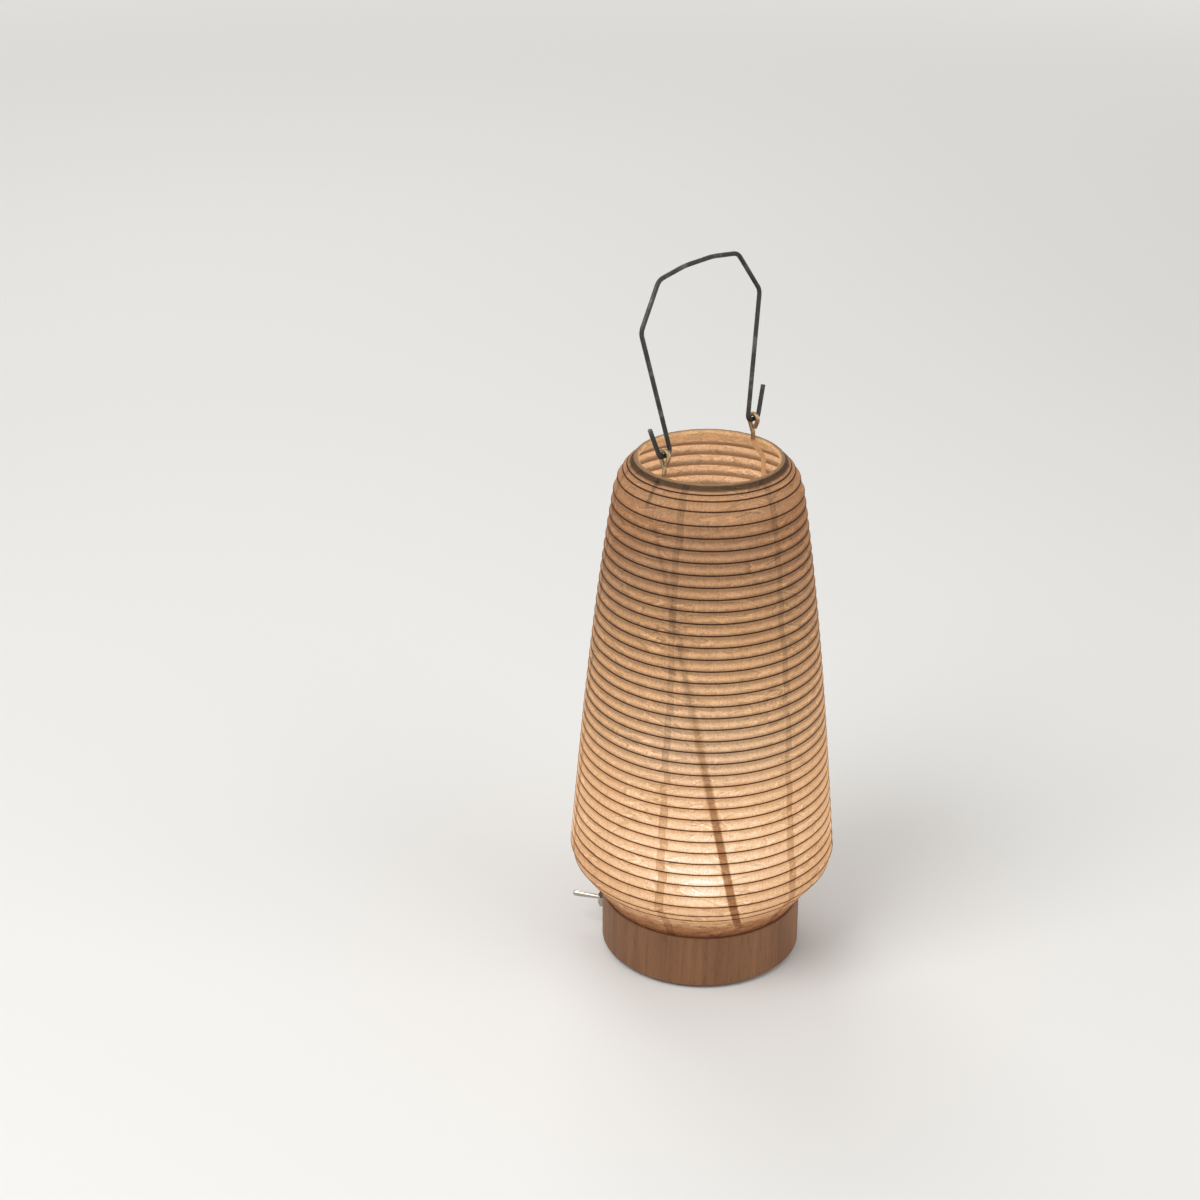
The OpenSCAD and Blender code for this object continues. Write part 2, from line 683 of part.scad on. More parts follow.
// Upright on the +X side: teardrop eye, sloping shoulder, slanting leg and straight foot
module upright() {
    middle = [eye_x, 0, eye_z];
    touch = [0, cos(eye_half), -sin(eye_half)] * eye_bend;
    away = [0, -touch.y, touch.z];
    neck = [eye_x, 0, eye_z - eye_neck];
    strand_gap = (upright_r + slide) / tan(eye_half);
    strand_end = neck + aim(neck, middle + away) * strand_gap;
    foot = foot_circle_r * [cos(foot_dir), sin(foot_dir)];
    union() {
        translate(middle) rotate([90, 0, 90]) rotate(-eye_half)
            rotate_extrude(angle = 180 + 2 * eye_half)
                translate([eye_bend, 0]) circle(r = upright_r, $fn = 32);
        band(middle + touch, aim(middle + touch, neck), upright_r);
        band(middle + away, aim(middle + away, neck), upright_r);
        run(middle + away + aim(middle + away, strand_end) * joint_gap, strand_end, upright_r);
        wire([middle + touch + aim(middle + touch, neck) * joint_gap, neck, [eye_x, 0, shoulder_z],
              [kink_r, 0, kink_z], [foot.x, foot.y, foot_bend_z], [foot.x, foot.y, ceiling_z + foot_gap]],
             [0, neck_bend, ring_grip, upright_bend, upright_bend, 0], upright_r);
    }
}

module right_upright() {
    color(wire_c) upright();
}

module left_upright() {
    color(wire_c) mirror([1, 0, 0]) upright();
}

// Ring in the mouth of the shade
module mouth_ring() {
    color(steel_c) ring(mouth_r, mouth_z, mouth_wire_r);
}

// Ring that holds the shade's hem around the spigot
module bottom_ring() {
    color(steel_c) ring(foot_ring_r, foot_ring_z, foot_wire_r);
}

// One closed ring for each rib, square in section with its outer edges eased
module shade_ribs() {
    flat = rib_r - rib_ease;
    section = [[-rib_r, -rib_r], [flat, -rib_r], [rib_r, -flat],
               [rib_r, flat], [flat, rib_r], [-rib_r, rib_r]];
    color("#6b4a2c") for (p = ribs)
        rotate_extrude() translate([p[0], p[1]]) rotate(atan2(p[3], p[2])) polygon(section);
}

// Points of a hem that wraps a ring, from angle a0 round to a1
function hem(r, z, reach, a0, a1) =
    [for (k = [0 : 12]) let (a = a0 + (a1 - a0) * k / 12) [r + reach * cos(a), z + reach * sin(a)]];

// One side of the paper from the mouth's hem down to the foot's hem, out from the ribs' middles
function paper_side(out) = concat(
    hem(mouth_r, mouth_z, out - rib_r + mouth_wire_r, mouth_turn + mouth_hem, mouth_turn - mouth_lap),
    [for (i = [0 : len(stations) - 2]) each i == 0 ? [fold_at(i, out)] : [on_rib(i, out), fold_at(i, out)]],
    hem(foot_ring_r, foot_ring_z, out - rib_r + foot_wire_r, under_turn, under_turn - foot_hem));

// Paper skin, folded over the mouth ring and under the bottom ring
module shade_paper() {
    color(paper_c) rotate_extrude() polygon(concat(paper_side(skin), turned(paper_side(skin - paper_t))));
}

// Bail handle: hook, leg, wide corner, upper corner and arched grip, the same on both sides
module handle() {
    tail = [outer_x + hook_tail * sin(tail_lean), hook_tail * cos(tail_lean)];
    half = [tail, [outer_x, 0], [inner_x, 0], [handle_wide, handle_rise], [handle_grip, handle_top]];
    arch = [grip_flat, handle_top + grip_arch];
    flat = concat(half, [arch, [-arch.x, arch.y]], [for (i = [4 : -1 : 0]) [-half[i].x, half[i].y]]);
    bends = [0, hook_bend, hook_bend, wide_bend, grip_bend, arch_bend,
             arch_bend, grip_bend, wide_bend, hook_bend, hook_bend, 0];
    color(steel_c) translate([0, 0, eye_z]) rotate([-handle_lean, 0, 0])
        wire([for (q = flat) [q.x, 0, q.y]], bends, handle_r);
}

wood_base();
bottom_cover();
cover_screws();
rubber_feet();
battery_holder();
battery_cells();
battery_contacts();
toggle_body();
toggle_terminals();
toggle_bush();
toggle_nut();
toggle_lever();
led_board();
led_screws();
led_chip();
led_dome();
resistor();
red_lead();
black_lead();
switch_lead();
upright_sockets();
left_upright();
right_upright();
mouth_ring();
bottom_ring();
shade_ribs();
shade_paper();
handle();
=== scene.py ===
"""Washi paper lamp: the looks of a small battery table lantern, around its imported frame.

The paper of the shade is modelled here over the frame's plain solid. Every other piece keeps
its own solid, and all of them get their finish here. Lengths are in metres.
"""

import logging
import math
from dataclasses import dataclass
from enum import Enum
from functools import cached_property
from typing import Any, Callable, Iterable, NamedTuple, Union

import bmesh
import bpy
from mathutils import Matrix, Vector, noise


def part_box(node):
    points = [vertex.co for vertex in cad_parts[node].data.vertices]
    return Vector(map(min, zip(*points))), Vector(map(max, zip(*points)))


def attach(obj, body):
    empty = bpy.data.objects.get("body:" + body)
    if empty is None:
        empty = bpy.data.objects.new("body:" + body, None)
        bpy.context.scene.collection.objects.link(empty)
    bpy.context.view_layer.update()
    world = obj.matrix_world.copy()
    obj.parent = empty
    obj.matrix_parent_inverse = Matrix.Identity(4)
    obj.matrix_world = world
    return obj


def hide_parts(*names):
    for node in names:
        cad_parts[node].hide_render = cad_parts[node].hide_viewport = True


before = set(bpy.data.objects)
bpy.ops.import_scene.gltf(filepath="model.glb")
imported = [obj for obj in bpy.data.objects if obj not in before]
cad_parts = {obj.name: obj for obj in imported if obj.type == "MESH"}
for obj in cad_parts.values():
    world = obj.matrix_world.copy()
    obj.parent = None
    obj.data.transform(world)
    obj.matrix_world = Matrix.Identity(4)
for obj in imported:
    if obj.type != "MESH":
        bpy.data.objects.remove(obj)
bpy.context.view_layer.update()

MM = 0.001
MIDDLE = 0.5  # of a noise that goes from 0 to 1
LOG = logging.getLogger("paper_lamp")

Pair = tuple[float, float]
Triple = tuple[float, float, float]
Colour = Triple
Table = tuple[Pair, ...]
Finishes = tuple[tuple[Any, ...], ...]
Number = Union[float, "Value"]


def opaque(colour: Colour) -> tuple[float, float, float, float]:
    """Adds a full alpha to a colour."""
    return (*colour, 1.0)


def both_ways(operation: str) -> tuple[Callable[..., "Value"], Callable[..., "Value"]]:
    """Makes one of Value's operators.

    Args:
        operation: Blender's name for the operation.

    Returns:
        The operator's method and its reflected form.
    """
    def straight(self: "Value", other: Number) -> "Value":
        """The value comes first."""
        return self.work(operation, self, other)

    def reflected(self: "Value", other: Number) -> "Value":
        """The other number comes first."""
        return self.work(operation, other, self)

    return straight, reflected


class Value:
    """A number that changes over a surface: arithmetic on it adds Math nodes."""

    __add__, __radd__ = both_ways("ADD")
    __sub__, __rsub__ = both_ways("SUBTRACT")
    __mul__, __rmul__ = both_ways("MULTIPLY")
    __truediv__, __rtruediv__ = both_ways("DIVIDE")
    __pow__, __rpow__ = both_ways("POWER")

    def __init__(self, maker: "Maker", socket: bpy.types.NodeSocket) -> None:
        """Holds a node's socket and the maker of the nodes that work on it."""
        self.maker = maker
        self.socket = socket

    def work(self, operation: str, *numbers: Any) -> "Value":
        """Adds one Math node.

        Args:
            operation: Blender's name for the operation.
            numbers: what goes into the node, in order.

        Returns:
            The node's result.
        """
        made = self.maker.node("ShaderNodeMath", {"operation": operation}, dict(enumerate(numbers)))
        return Value(self.maker, made.outputs[0])

    def __abs__(self) -> "Value":
        """Size without its sign."""
        return self.work("ABSOLUTE", self)

    def least(self, other: Number) -> "Value":
        """The smaller of two."""
        return self.work("MINIMUM", self, other)

    def most(self, other: Number) -> "Value":
        """The larger of two."""
        return self.work("MAXIMUM", self, other)

    def fraction(self) -> "Value":
        """Part after the point."""
        return self.work("FRACT", self)

    def whole(self) -> "Value":
        """Part before the point."""
        return self.work("FLOOR", self)

    def cosine(self) -> "Value":
        """Cosine of an angle in radians."""
        return self.work("COSINE", self)

    def bell(self, middle: float, width: float) -> "Value":
        """A bell that is 1 at the middle and falls to 0.37 one width away.

        Args:
            middle: where the bell stands.
            width: how far it reaches to either side.

        Returns:
            The bell's height.
        """
        reach = (self - middle) / width
        return math.e ** (-1.0 * reach * reach)

    def step(self, low: float, high: float) -> "Value":
        """A smooth step from 0 at low to 1 at high.

        Args:
            low: where the step starts; it may be above high, for a step down.
            high: where it ends.

        Returns:
            The step's height.
        """
        first, last = (1.0, 0.0) if low > high else (0.0, 1.0)
        made = self.maker.node(
            "ShaderNodeMapRange",
            {"interpolation_type": "SMOOTHSTEP"},
            {"Value": self, "From Min": min(low, high), "From Max": max(low, high),
             "To Min": first, "To Max": last},
        )
        return Value(self.maker, made.outputs["Result"])

    def scaled(self, line: Pair) -> "Value":
        """The first number, and the second times the value."""
        return line[0] + line[1] * self

    def fold(self, width: float) -> "Value":
        """A thin fold where a noise passes its middle, with painted light on one side and painted
        shade on the other.
        """
        slant = ((self - MIDDLE) / width).most(-1.0).least(1.0)
        return slant * (1.0 - abs(slant))


class Grain(NamedTuple):
    """A fine noise.

    It has a number of grains to a metre, finer layers and their strength. Above 1, flat draws
    it out level, and below 1 upright.
    """

    scale: float
    detail: float
    rough: float
    flat: float = 1.0


class Maker:
    """Makes the nodes of one material or world."""

    def __init__(self, owner: bpy.types.ID) -> None:
        """Empties the node tree that the nodes go into.

        Args:
            owner: the material or world that holds the tree.
        """
        self.owner = owner
        self.owner.use_nodes = True
        self.tree = self.owner.node_tree
        self.tree.nodes.clear()

    @classmethod
    def material(cls, name: str) -> "Maker":
        """Starts a new material."""
        return cls(bpy.data.materials.new(name))

    def node(self, kind: str, settings: dict[str, Any] | None = None,
             inputs: dict[Any, Any] | None = None) -> bpy.types.Node:
        """Makes any node.

        Args:
            kind: the node's type.
            settings: what is set before its sockets; stops are a ramp's places and colours.
            inputs: values or links of its sockets, by name or number.

        Returns:
            The new node.
        """
        made = self.tree.nodes.new(kind)
        for key, value in (settings or {}).items():
            if key == "stops":
                self._stops(made.color_ramp, value)
            else:
                setattr(made, key, value)
        for key, value in (inputs or {}).items():
            value = value.socket if isinstance(value, Value) else value
            if isinstance(value, bpy.types.NodeSocket):
                self.tree.links.new(value, made.inputs[key])
            else:
                made.inputs[key].default_value = value
        return made

    @staticmethod
    def _stops(ramp: bpy.types.ColorRamp, stops: Iterable[tuple[float, Colour]]) -> None:
        """Sets a ramp's stops, from the lowest place up.

        Args:
            ramp: the ramp.
            stops: its places and colours.
        """
        places = list(stops)
        while len(ramp.elements) < len(places):
            ramp.elements.new(1.0)
        for element, (place, colour) in zip(ramp.elements, places):
            element.position = place
            element.color = opaque(colour)

    @cached_property
    def where(self) -> bpy.types.NodeSocket:
        """Place on the piece, in the lamp's own frame."""
        return self.node("ShaderNodeTexCoord").outputs["Object"]

    @cached_property
    def xyz(self) -> tuple[Value, Value, Value]:
        """X, Y and Z of the place."""
        return self.along(self.where)

    @cached_property
    def turn(self) -> Value:
        """Angle of the place round the lamp's axis, in radians."""
        x, y, _ = self.xyz
        return x.work("ARCTAN2", y, x)

    def along(self, vector: bpy.types.NodeSocket) -> tuple[Value, Value, Value]:
        """X, Y and Z of a vector."""
        split = self.node("ShaderNodeSeparateXYZ", None, {0: vector})
        return tuple(Value(self, socket) for socket in split.outputs)

    def joined(self, x: Number, y: Number, z: Number) -> bpy.types.NodeSocket:
        """A vector from three numbers."""
        return self.node("ShaderNodeCombineXYZ", None, {0: x, 1: y, 2: z}).outputs[0]

    def vector(self, operation: str, *inputs: Any) -> bpy.types.Node:
        """A Vector Math node."""
        return self.node("ShaderNodeVectorMath", {"operation": operation}, dict(enumerate(inputs)))

    def measure(self, operation: str, *inputs: Any) -> Value:
        """The number that a Vector Math node works out."""
        return Value(self, self.vector(operation, *inputs).outputs["Value"])

    def painted(self, name: str) -> Value:
        """A number kept on the mesh's points."""
        made = self.node("ShaderNodeAttribute", {"attribute_name": name})
        return Value(self, made.outputs["Fac"])

    def seen(self) -> Value:
        """1 for the camera and in metal and glass, 0 for the light that falls on things.

        Returns:
            The number.
        """
        rays = self.node("ShaderNodeLightPath").outputs
        camera, glossy, through = (
            Value(self, rays[f"Is {kind} Ray"]) for kind in ("Camera", "Glossy", "Transmission"))
        return (camera + glossy + through).least(1.0)

    def grain(self, pattern: Grain, where: bpy.types.NodeSocket | None = None) -> Value:
        """Fine noise from 0 to 1.

        Args:
            pattern: the noise.
            where: the vector that it is read at, or the place on the piece.

        Returns:
            The noise.
        """
        where = self.where if where is None else where
        if pattern.flat != 1.0:
            where = self.vector("MULTIPLY", where, (1.0, 1.0, pattern.flat)).outputs[0]
        made = self.node("ShaderNodeTexNoise", {"noise_dimensions": "3D"},
                         {"Vector": where, "Scale": pattern.scale, "Detail": pattern.detail,
                          "Roughness": pattern.rough})
        return Value(self, made.outputs[0])

    def swing(self, pattern: Grain) -> Value:
        """Fine noise to either side of 0."""
        return self.grain(pattern) - MIDDLE

    def ramp(self, factor: Value, stops: Iterable[tuple[float, Colour]]) -> bpy.types.NodeSocket:
        """Colours read off a ramp."""
        return self.node("ShaderNodeValToRGB", {"stops": stops}, {0: factor}).outputs[0]

    def table(self, at: Value, points: Table, reach: float = 1.0) -> Value:
        """A number read off a table.

        Args:
            at: the place in the table.
            points: places and numbers, from the lowest place up.
            reach: the table's highest place.

        Returns:
            The number, which changes evenly between two places.
        """
        stops = [(place / reach, (number,) * 3) for place, number in points]
        return Value(self, self.ramp(at / reach, stops))

    def blend(self, factor: Number, first: Any, second: Any,
              how: str = "MIX") -> bpy.types.NodeSocket:
        """Two colours in one.

        Args:
            factor: how much of the second there is.
            first: a colour or a link to one.
            second: the same.
            how: Blender's name for the way of mixing.

        Returns:
            The mixed colour.
        """
        one, two = (opaque(c) if isinstance(c, tuple) else c for c in (first, second))
        return self.node("ShaderNodeMix", {"data_type": "RGBA", "blend_type": how},
                         {0: factor, 6: one, 7: two}).outputs[2]

    def shade(self, colour: Any, level: Number) -> bpy.types.NodeSocket:
        """A colour made lighter or darker by a number."""
        return self.blend(1.0, colour, self.joined(level, level, level), "MULTIPLY")

    def bump(self, height: Value, depth: float) -> bpy.types.NodeSocket:
        """A bumped normal.

        Args:
            height: from 0 to 1.
            depth: how far 0 and 1 are apart.

        Returns:
            The normal.
        """
        return self.node("ShaderNodeBump", None,
                         {"Strength": 1.0, "Distance": depth, "Height": height}).outputs[0]

    def surface(self, **inputs: Any) -> bpy.types.Material:
        """Ends the material in a Principled shader.

        Args:
            inputs: its sockets, with underscores for the spaces in their names.

        Returns:
            The finished material.
        """
        if "Emission_Color" in inputs:
            inputs.setdefault("Emission_Strength", 1.0)
        sockets = {key.replace("_", " "): opaque(value) if isinstance(value, tuple) else value
                   for key, value in inputs.items()}
        shader = self.node("ShaderNodeBsdfPrincipled", None, sockets)
        self.node("ShaderNodeOutputMaterial", None, {"Surface": shader.outputs[0]})
        return self.owner


@dataclass(frozen=True)
class Ring:
    """A wire ring of the frame, read from its box."""

    radius: float
    height: float
    wire: float

    @classmethod
    def of(cls, node: str) -> "Ring":
        """Reads a ring.

        Args:
            node: the ring's name in the frame.

        Returns:
            Its radius, its height and half the thickness of its wire.
        """
        low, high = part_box(node)
        wire = (high.z - low.z) / 2
        return cls(high.x - wire, (high.z + low.z) / 2, wire)


@dataclass(frozen=True)
class Station:
    """A place on the shade's outline where the paper is held, and the way out from there."""

    r: float
    z: float
    out_r: float
    out_z: float
    wire: float


@dataclass(frozen=True)
class Outline:
    """Outline of the shade: shoulder, long side, round lower corner and straight underside."""

    mouth: Ring
    foot: Ring
    widest: float = 60 * MM
    widest_z: float = 53 * MM
    side: float = 175.6 * MM
    lean: float = 14.6 * MM
    curve: float = 4.54 * MM
    shoulder: float = 20.5 * MM
    corner: float = 8 * MM
    pitch: float = 5.32 * MM
    plain_band: float = 15 * MM
    rib: float = 0.4 * MM
    shoulder_shares: tuple[float, ...] = (0.75, 0.59, 0.34)

    def side_at(self, up: float) -> Station:
        """A rib on the long side, so far above the widest place.

        Args:
            up: how far above.

        Returns:
            The place and its way out.
        """
        share = up / self.side
        lean = math.atan((self.lean + 3 * self.curve * share ** 2) / self.side)
        radius = self.widest - self.lean * share - self.curve * share ** 3
        return Station(radius, self.widest_z + up, math.cos(lean), math.sin(lean), self.rib)

    def held_at(self, ring: Ring, turn: float) -> Station:
        """The place where a wire ring holds the paper."""
        return Station(ring.radius, ring.height, math.cos(turn), math.sin(turn), ring.wire)

    def arc(self, centre: Vector, radius: float, angle: float) -> Station:
        """A rib on an arc."""
        out_r, out_z = math.cos(angle), math.sin(angle)
        return Station(centre.x + radius * out_r, centre.y + radius * out_z, out_r, out_z, self.rib)

    @staticmethod
    def inward(held: Station, reach: float) -> Vector:
        """The point so far straight in from a station."""
        return Vector((held.r - reach * held.out_r, held.z - reach * held.out_z))

    def peak(self) -> Vector:
        """Middle of the shoulder's arc."""
        return self.inward(self.side_at(self.side), self.shoulder)

    def stations(self) -> list[Station]:
        """Works out every place that holds the paper.

        Returns:
            The mouth ring, the ribs from the top down, and the bottom ring.
        """
        top, peak = self.side_at(self.side), self.peak()
        top_turn = math.atan2(top.out_z, top.out_r)
        mouth_turn = math.acos((self.mouth.radius - peak.x) / self.shoulder)
        held = [self.held_at(self.mouth, mouth_turn)]
        held += [self.arc(peak, self.shoulder, top_turn + share * (mouth_turn - top_turn))
                 for share in self.shoulder_shares]
        count = int(self.side / self.pitch) + 1
        held += [self.side_at(self.side - self.pitch * i) for i in range(count)]

        low = self.side_at(0.0)
        low_turn = math.atan2(low.out_z, low.out_r)
        bend = self.inward(low, self.corner)
        reach = Vector((self.foot.radius, self.foot.height)) - bend
        under_turn = math.atan2(reach.y, reach.x) + math.acos(self.corner / reach.length)
        straight = math.sqrt(reach.length ** 2 - self.corner ** 2)
        rounded = self.corner * (low_turn - under_turn)
        end = self.arc(bend, self.corner, under_turn)
        gone = self.pitch - (self.side - self.pitch * (count - 1))
        while gone <= rounded + straight - self.plain_band:
            if gone <= rounded:
                held.append(self.arc(bend, self.corner, low_turn - gone / self.corner))
            else:
                run = gone - rounded
                held.append(Station(end.r + run * end.out_z, end.z - run * end.out_r,
                                    end.out_r, end.out_z, self.rib))
            gone += self.pitch
        held.append(self.held_at(self.foot, under_turn))
        return held


@dataclass(frozen=True)
class Row:
    """One row of the paper's mesh: its place, and what the paper's finish reads there."""

    r: float
    z: float
    out_r: float
    out_z: float
    count: float
    gap: float
    loose: float


class Bright(NamedTuple):
    """A painted bright spot of lamplight on the paper.

    It has its light, the angle after which it comes back, half its width round the axis, its
    height, and half its length upwards.
    """

    light: float
    period: float
    turn: float
    z: float
    reach: float


@dataclass(frozen=True)
class Glow:
    """The paper's painted lamplight, for levels of light from 0, dark, to 1.

    Stops are its colours. Upward is the level of painted lamplight at each height. Low and high
    are how it changes from one rib to the next on the lower and the upper part, painted shade
    where the paper turns from the light, and loose over the plain band, darker towards its foot.
    Own and reflected share the colour between the painted glow of the lamplight through the
    paper and the room's light.
    """

    stops: tuple[tuple[float, Colour], ...] = (
        (0.0, (0.0, 0.0, 0.0)),
        (0.03, (0.088, 0.03, 0.011)),
        (0.073, (0.195, 0.073, 0.026)),
        (0.14, (0.33, 0.14, 0.058)),
        (0.21, (0.44, 0.21, 0.095)),
        (0.27, (0.50, 0.27, 0.14)),
        (0.35, (0.64, 0.355, 0.175)),
        (0.43, (0.76, 0.43, 0.22)),
        (0.49, (0.83, 0.49, 0.26)),
        (0.60, (0.94, 0.60, 0.365)),
        (0.72, (0.985, 0.72, 0.455)),
        (0.82, (1.0, 0.82, 0.60)),
        (0.88, (1.0, 0.88, 0.68)),
        (0.95, (1.0, 0.95, 0.82)),
        (1.0, (1.0, 0.98, 0.90)),
    )
    upward: Table = (
        (30 * MM, 0.40), (43 * MM, 0.44), (54 * MM, 0.55), (62 * MM, 0.61), (72 * MM, 0.66),
        (84 * MM, 0.655), (96 * MM, 0.64), (108 * MM, 0.62), (120 * MM, 0.595), (132 * MM, 0.56),
        (156 * MM, 0.485), (180 * MM, 0.385), (204 * MM, 0.305), (226 * MM, 0.26),
        (236 * MM, 0.305), (245 * MM, 0.32),
    )
    high: Table = (
        (0.0, 0.56), (0.10, 0.58), (0.17, 0.58), (0.26, 0.57), (0.35, 0.70), (0.45, 0.85),
        (0.55, 0.96), (0.64, 1.0), (0.72, 0.97), (0.80, 0.75), (0.88, 0.58), (0.95, 0.53),
        (1.0, 0.52),
    )
    low: Table = (
        (0.0, 0.60), (0.10, 0.64), (0.20, 0.70), (0.30, 0.80), (0.40, 0.90), (0.52, 0.97),
        (0.70, 1.0), (0.80, 0.98), (0.89, 0.83), (1.0, 0.66),
    )
    loose: Table = (
        (0.0, 0.94), (0.12, 0.70), (0.30, 0.72), (0.42, 0.52), (0.60, 0.37), (0.80, 0.30),
        (0.92, 0.17), (1.0, 0.10),
    )
    own: float = 0.64
    reflected: float = 0.36
    inner: Pair = (0.50, 0.32)
    inner_bell: Pair = (60 * MM, 110 * MM)
    sway: float = 0.13
    brights: tuple[Bright, ...] = (
        Bright(0.18, math.pi, math.radians(36), 71 * MM, 25 * MM),
        Bright(0.28, math.pi / 2, math.radians(9), 63.5 * MM, 8 * MM),
    )


@dataclass(frozen=True)
class Legs:
    """Painted shadows of the two upright wires on the paper.

    Light, top and foot are fitted to where the shadow falls in the photograph. They aren't the
    places of the light and of the wire's ends. The two shadows are mirror images, so one is
    written and the paper's X is read without its sign. Near the top the wire itself shows
    through, painted as a dark line of shade.
    """

    light: Triple = (0.0, 0.0, 102 * MM)
    top: Triple = (43.6 * MM, -5.5 * MM, 232.46 * MM)
    foot: Triple = (6.15 * MM, -25.16 * MM, 35 * MM)
    wire: float = 0.80 * MM
    crisp: float = 0.2 * MM
    blur: float = 1.0 * MM
    blurred: Pair = (70 * MM, 200 * MM)
    dark: Table = (
        (30 * MM, 0.0), (40 * MM, 0.70), (86 * MM, 0.72), (120 * MM, 0.50), (150 * MM, 0.35),
        (190 * MM, 0.27), (222 * MM, 0.27), (232 * MM, 0.0),
    )
    through: float = 0.38
    through_wide: Pair = (1.3 * MM, 0.7 * MM)
    through_above: Pair = (231 * MM, 234 * MM)


@dataclass(frozen=True)
class Laps:
    """The six upright laps where two strips of paper overlap, painted as darker bands of shade
    where the double paper holds back the lamplight.

    Each stretch between two ribs is a little out of line and of its own width and tone. Width and
    dark hold a lap's least share, what chance adds, and what it gains low down.
    """

    first: float = math.radians(23)
    turn: float = math.radians(60)
    sway: float = 0.03
    wide: float = 2.9 * MM
    width: Triple = (0.42, 0.16, 0.16)
    wider_below: Pair = (120 * MM, 70 * MM)
    dark: Triple = (0.19, 0.08, 0.10)
    darker_below: Pair = (130 * MM, 95 * MM)
    rim: float = 0.5 * MM
    rim_step: Pair = (-0.35, 0.45)
    rim_bell: Pair = (-0.2, 0.5)
    rim_dark: float = 0.07


@dataclass(frozen=True)
class Folds:
    """Long thin folds that slant over the paper, and the wrinkles of its plain band, painted as
    light and shade.

    Families hold a family's slope, where its noise starts and how coarse it is.
    """

    families: tuple[Triple, ...] = ((1.4, 0.0, 46.0), (-1.2, 2.0, 60.0))
    across: Pair = (0.62, 0.69)
    steep: float = 4.6
    width: float = 0.05
    light: float = 0.85
    some: Grain = Grain(38.0, 1.0, 0.5)
    some_edge: Pair = (0.50, 0.57)
    wrinkle: Grain = Grain(120.0, 3.0, 0.65, 5.0)
    wrinkle_width: float = 0.09
    wrinkle_light: float = 1.2
    wrinkle_edge: Pair = (0.0, 0.2)


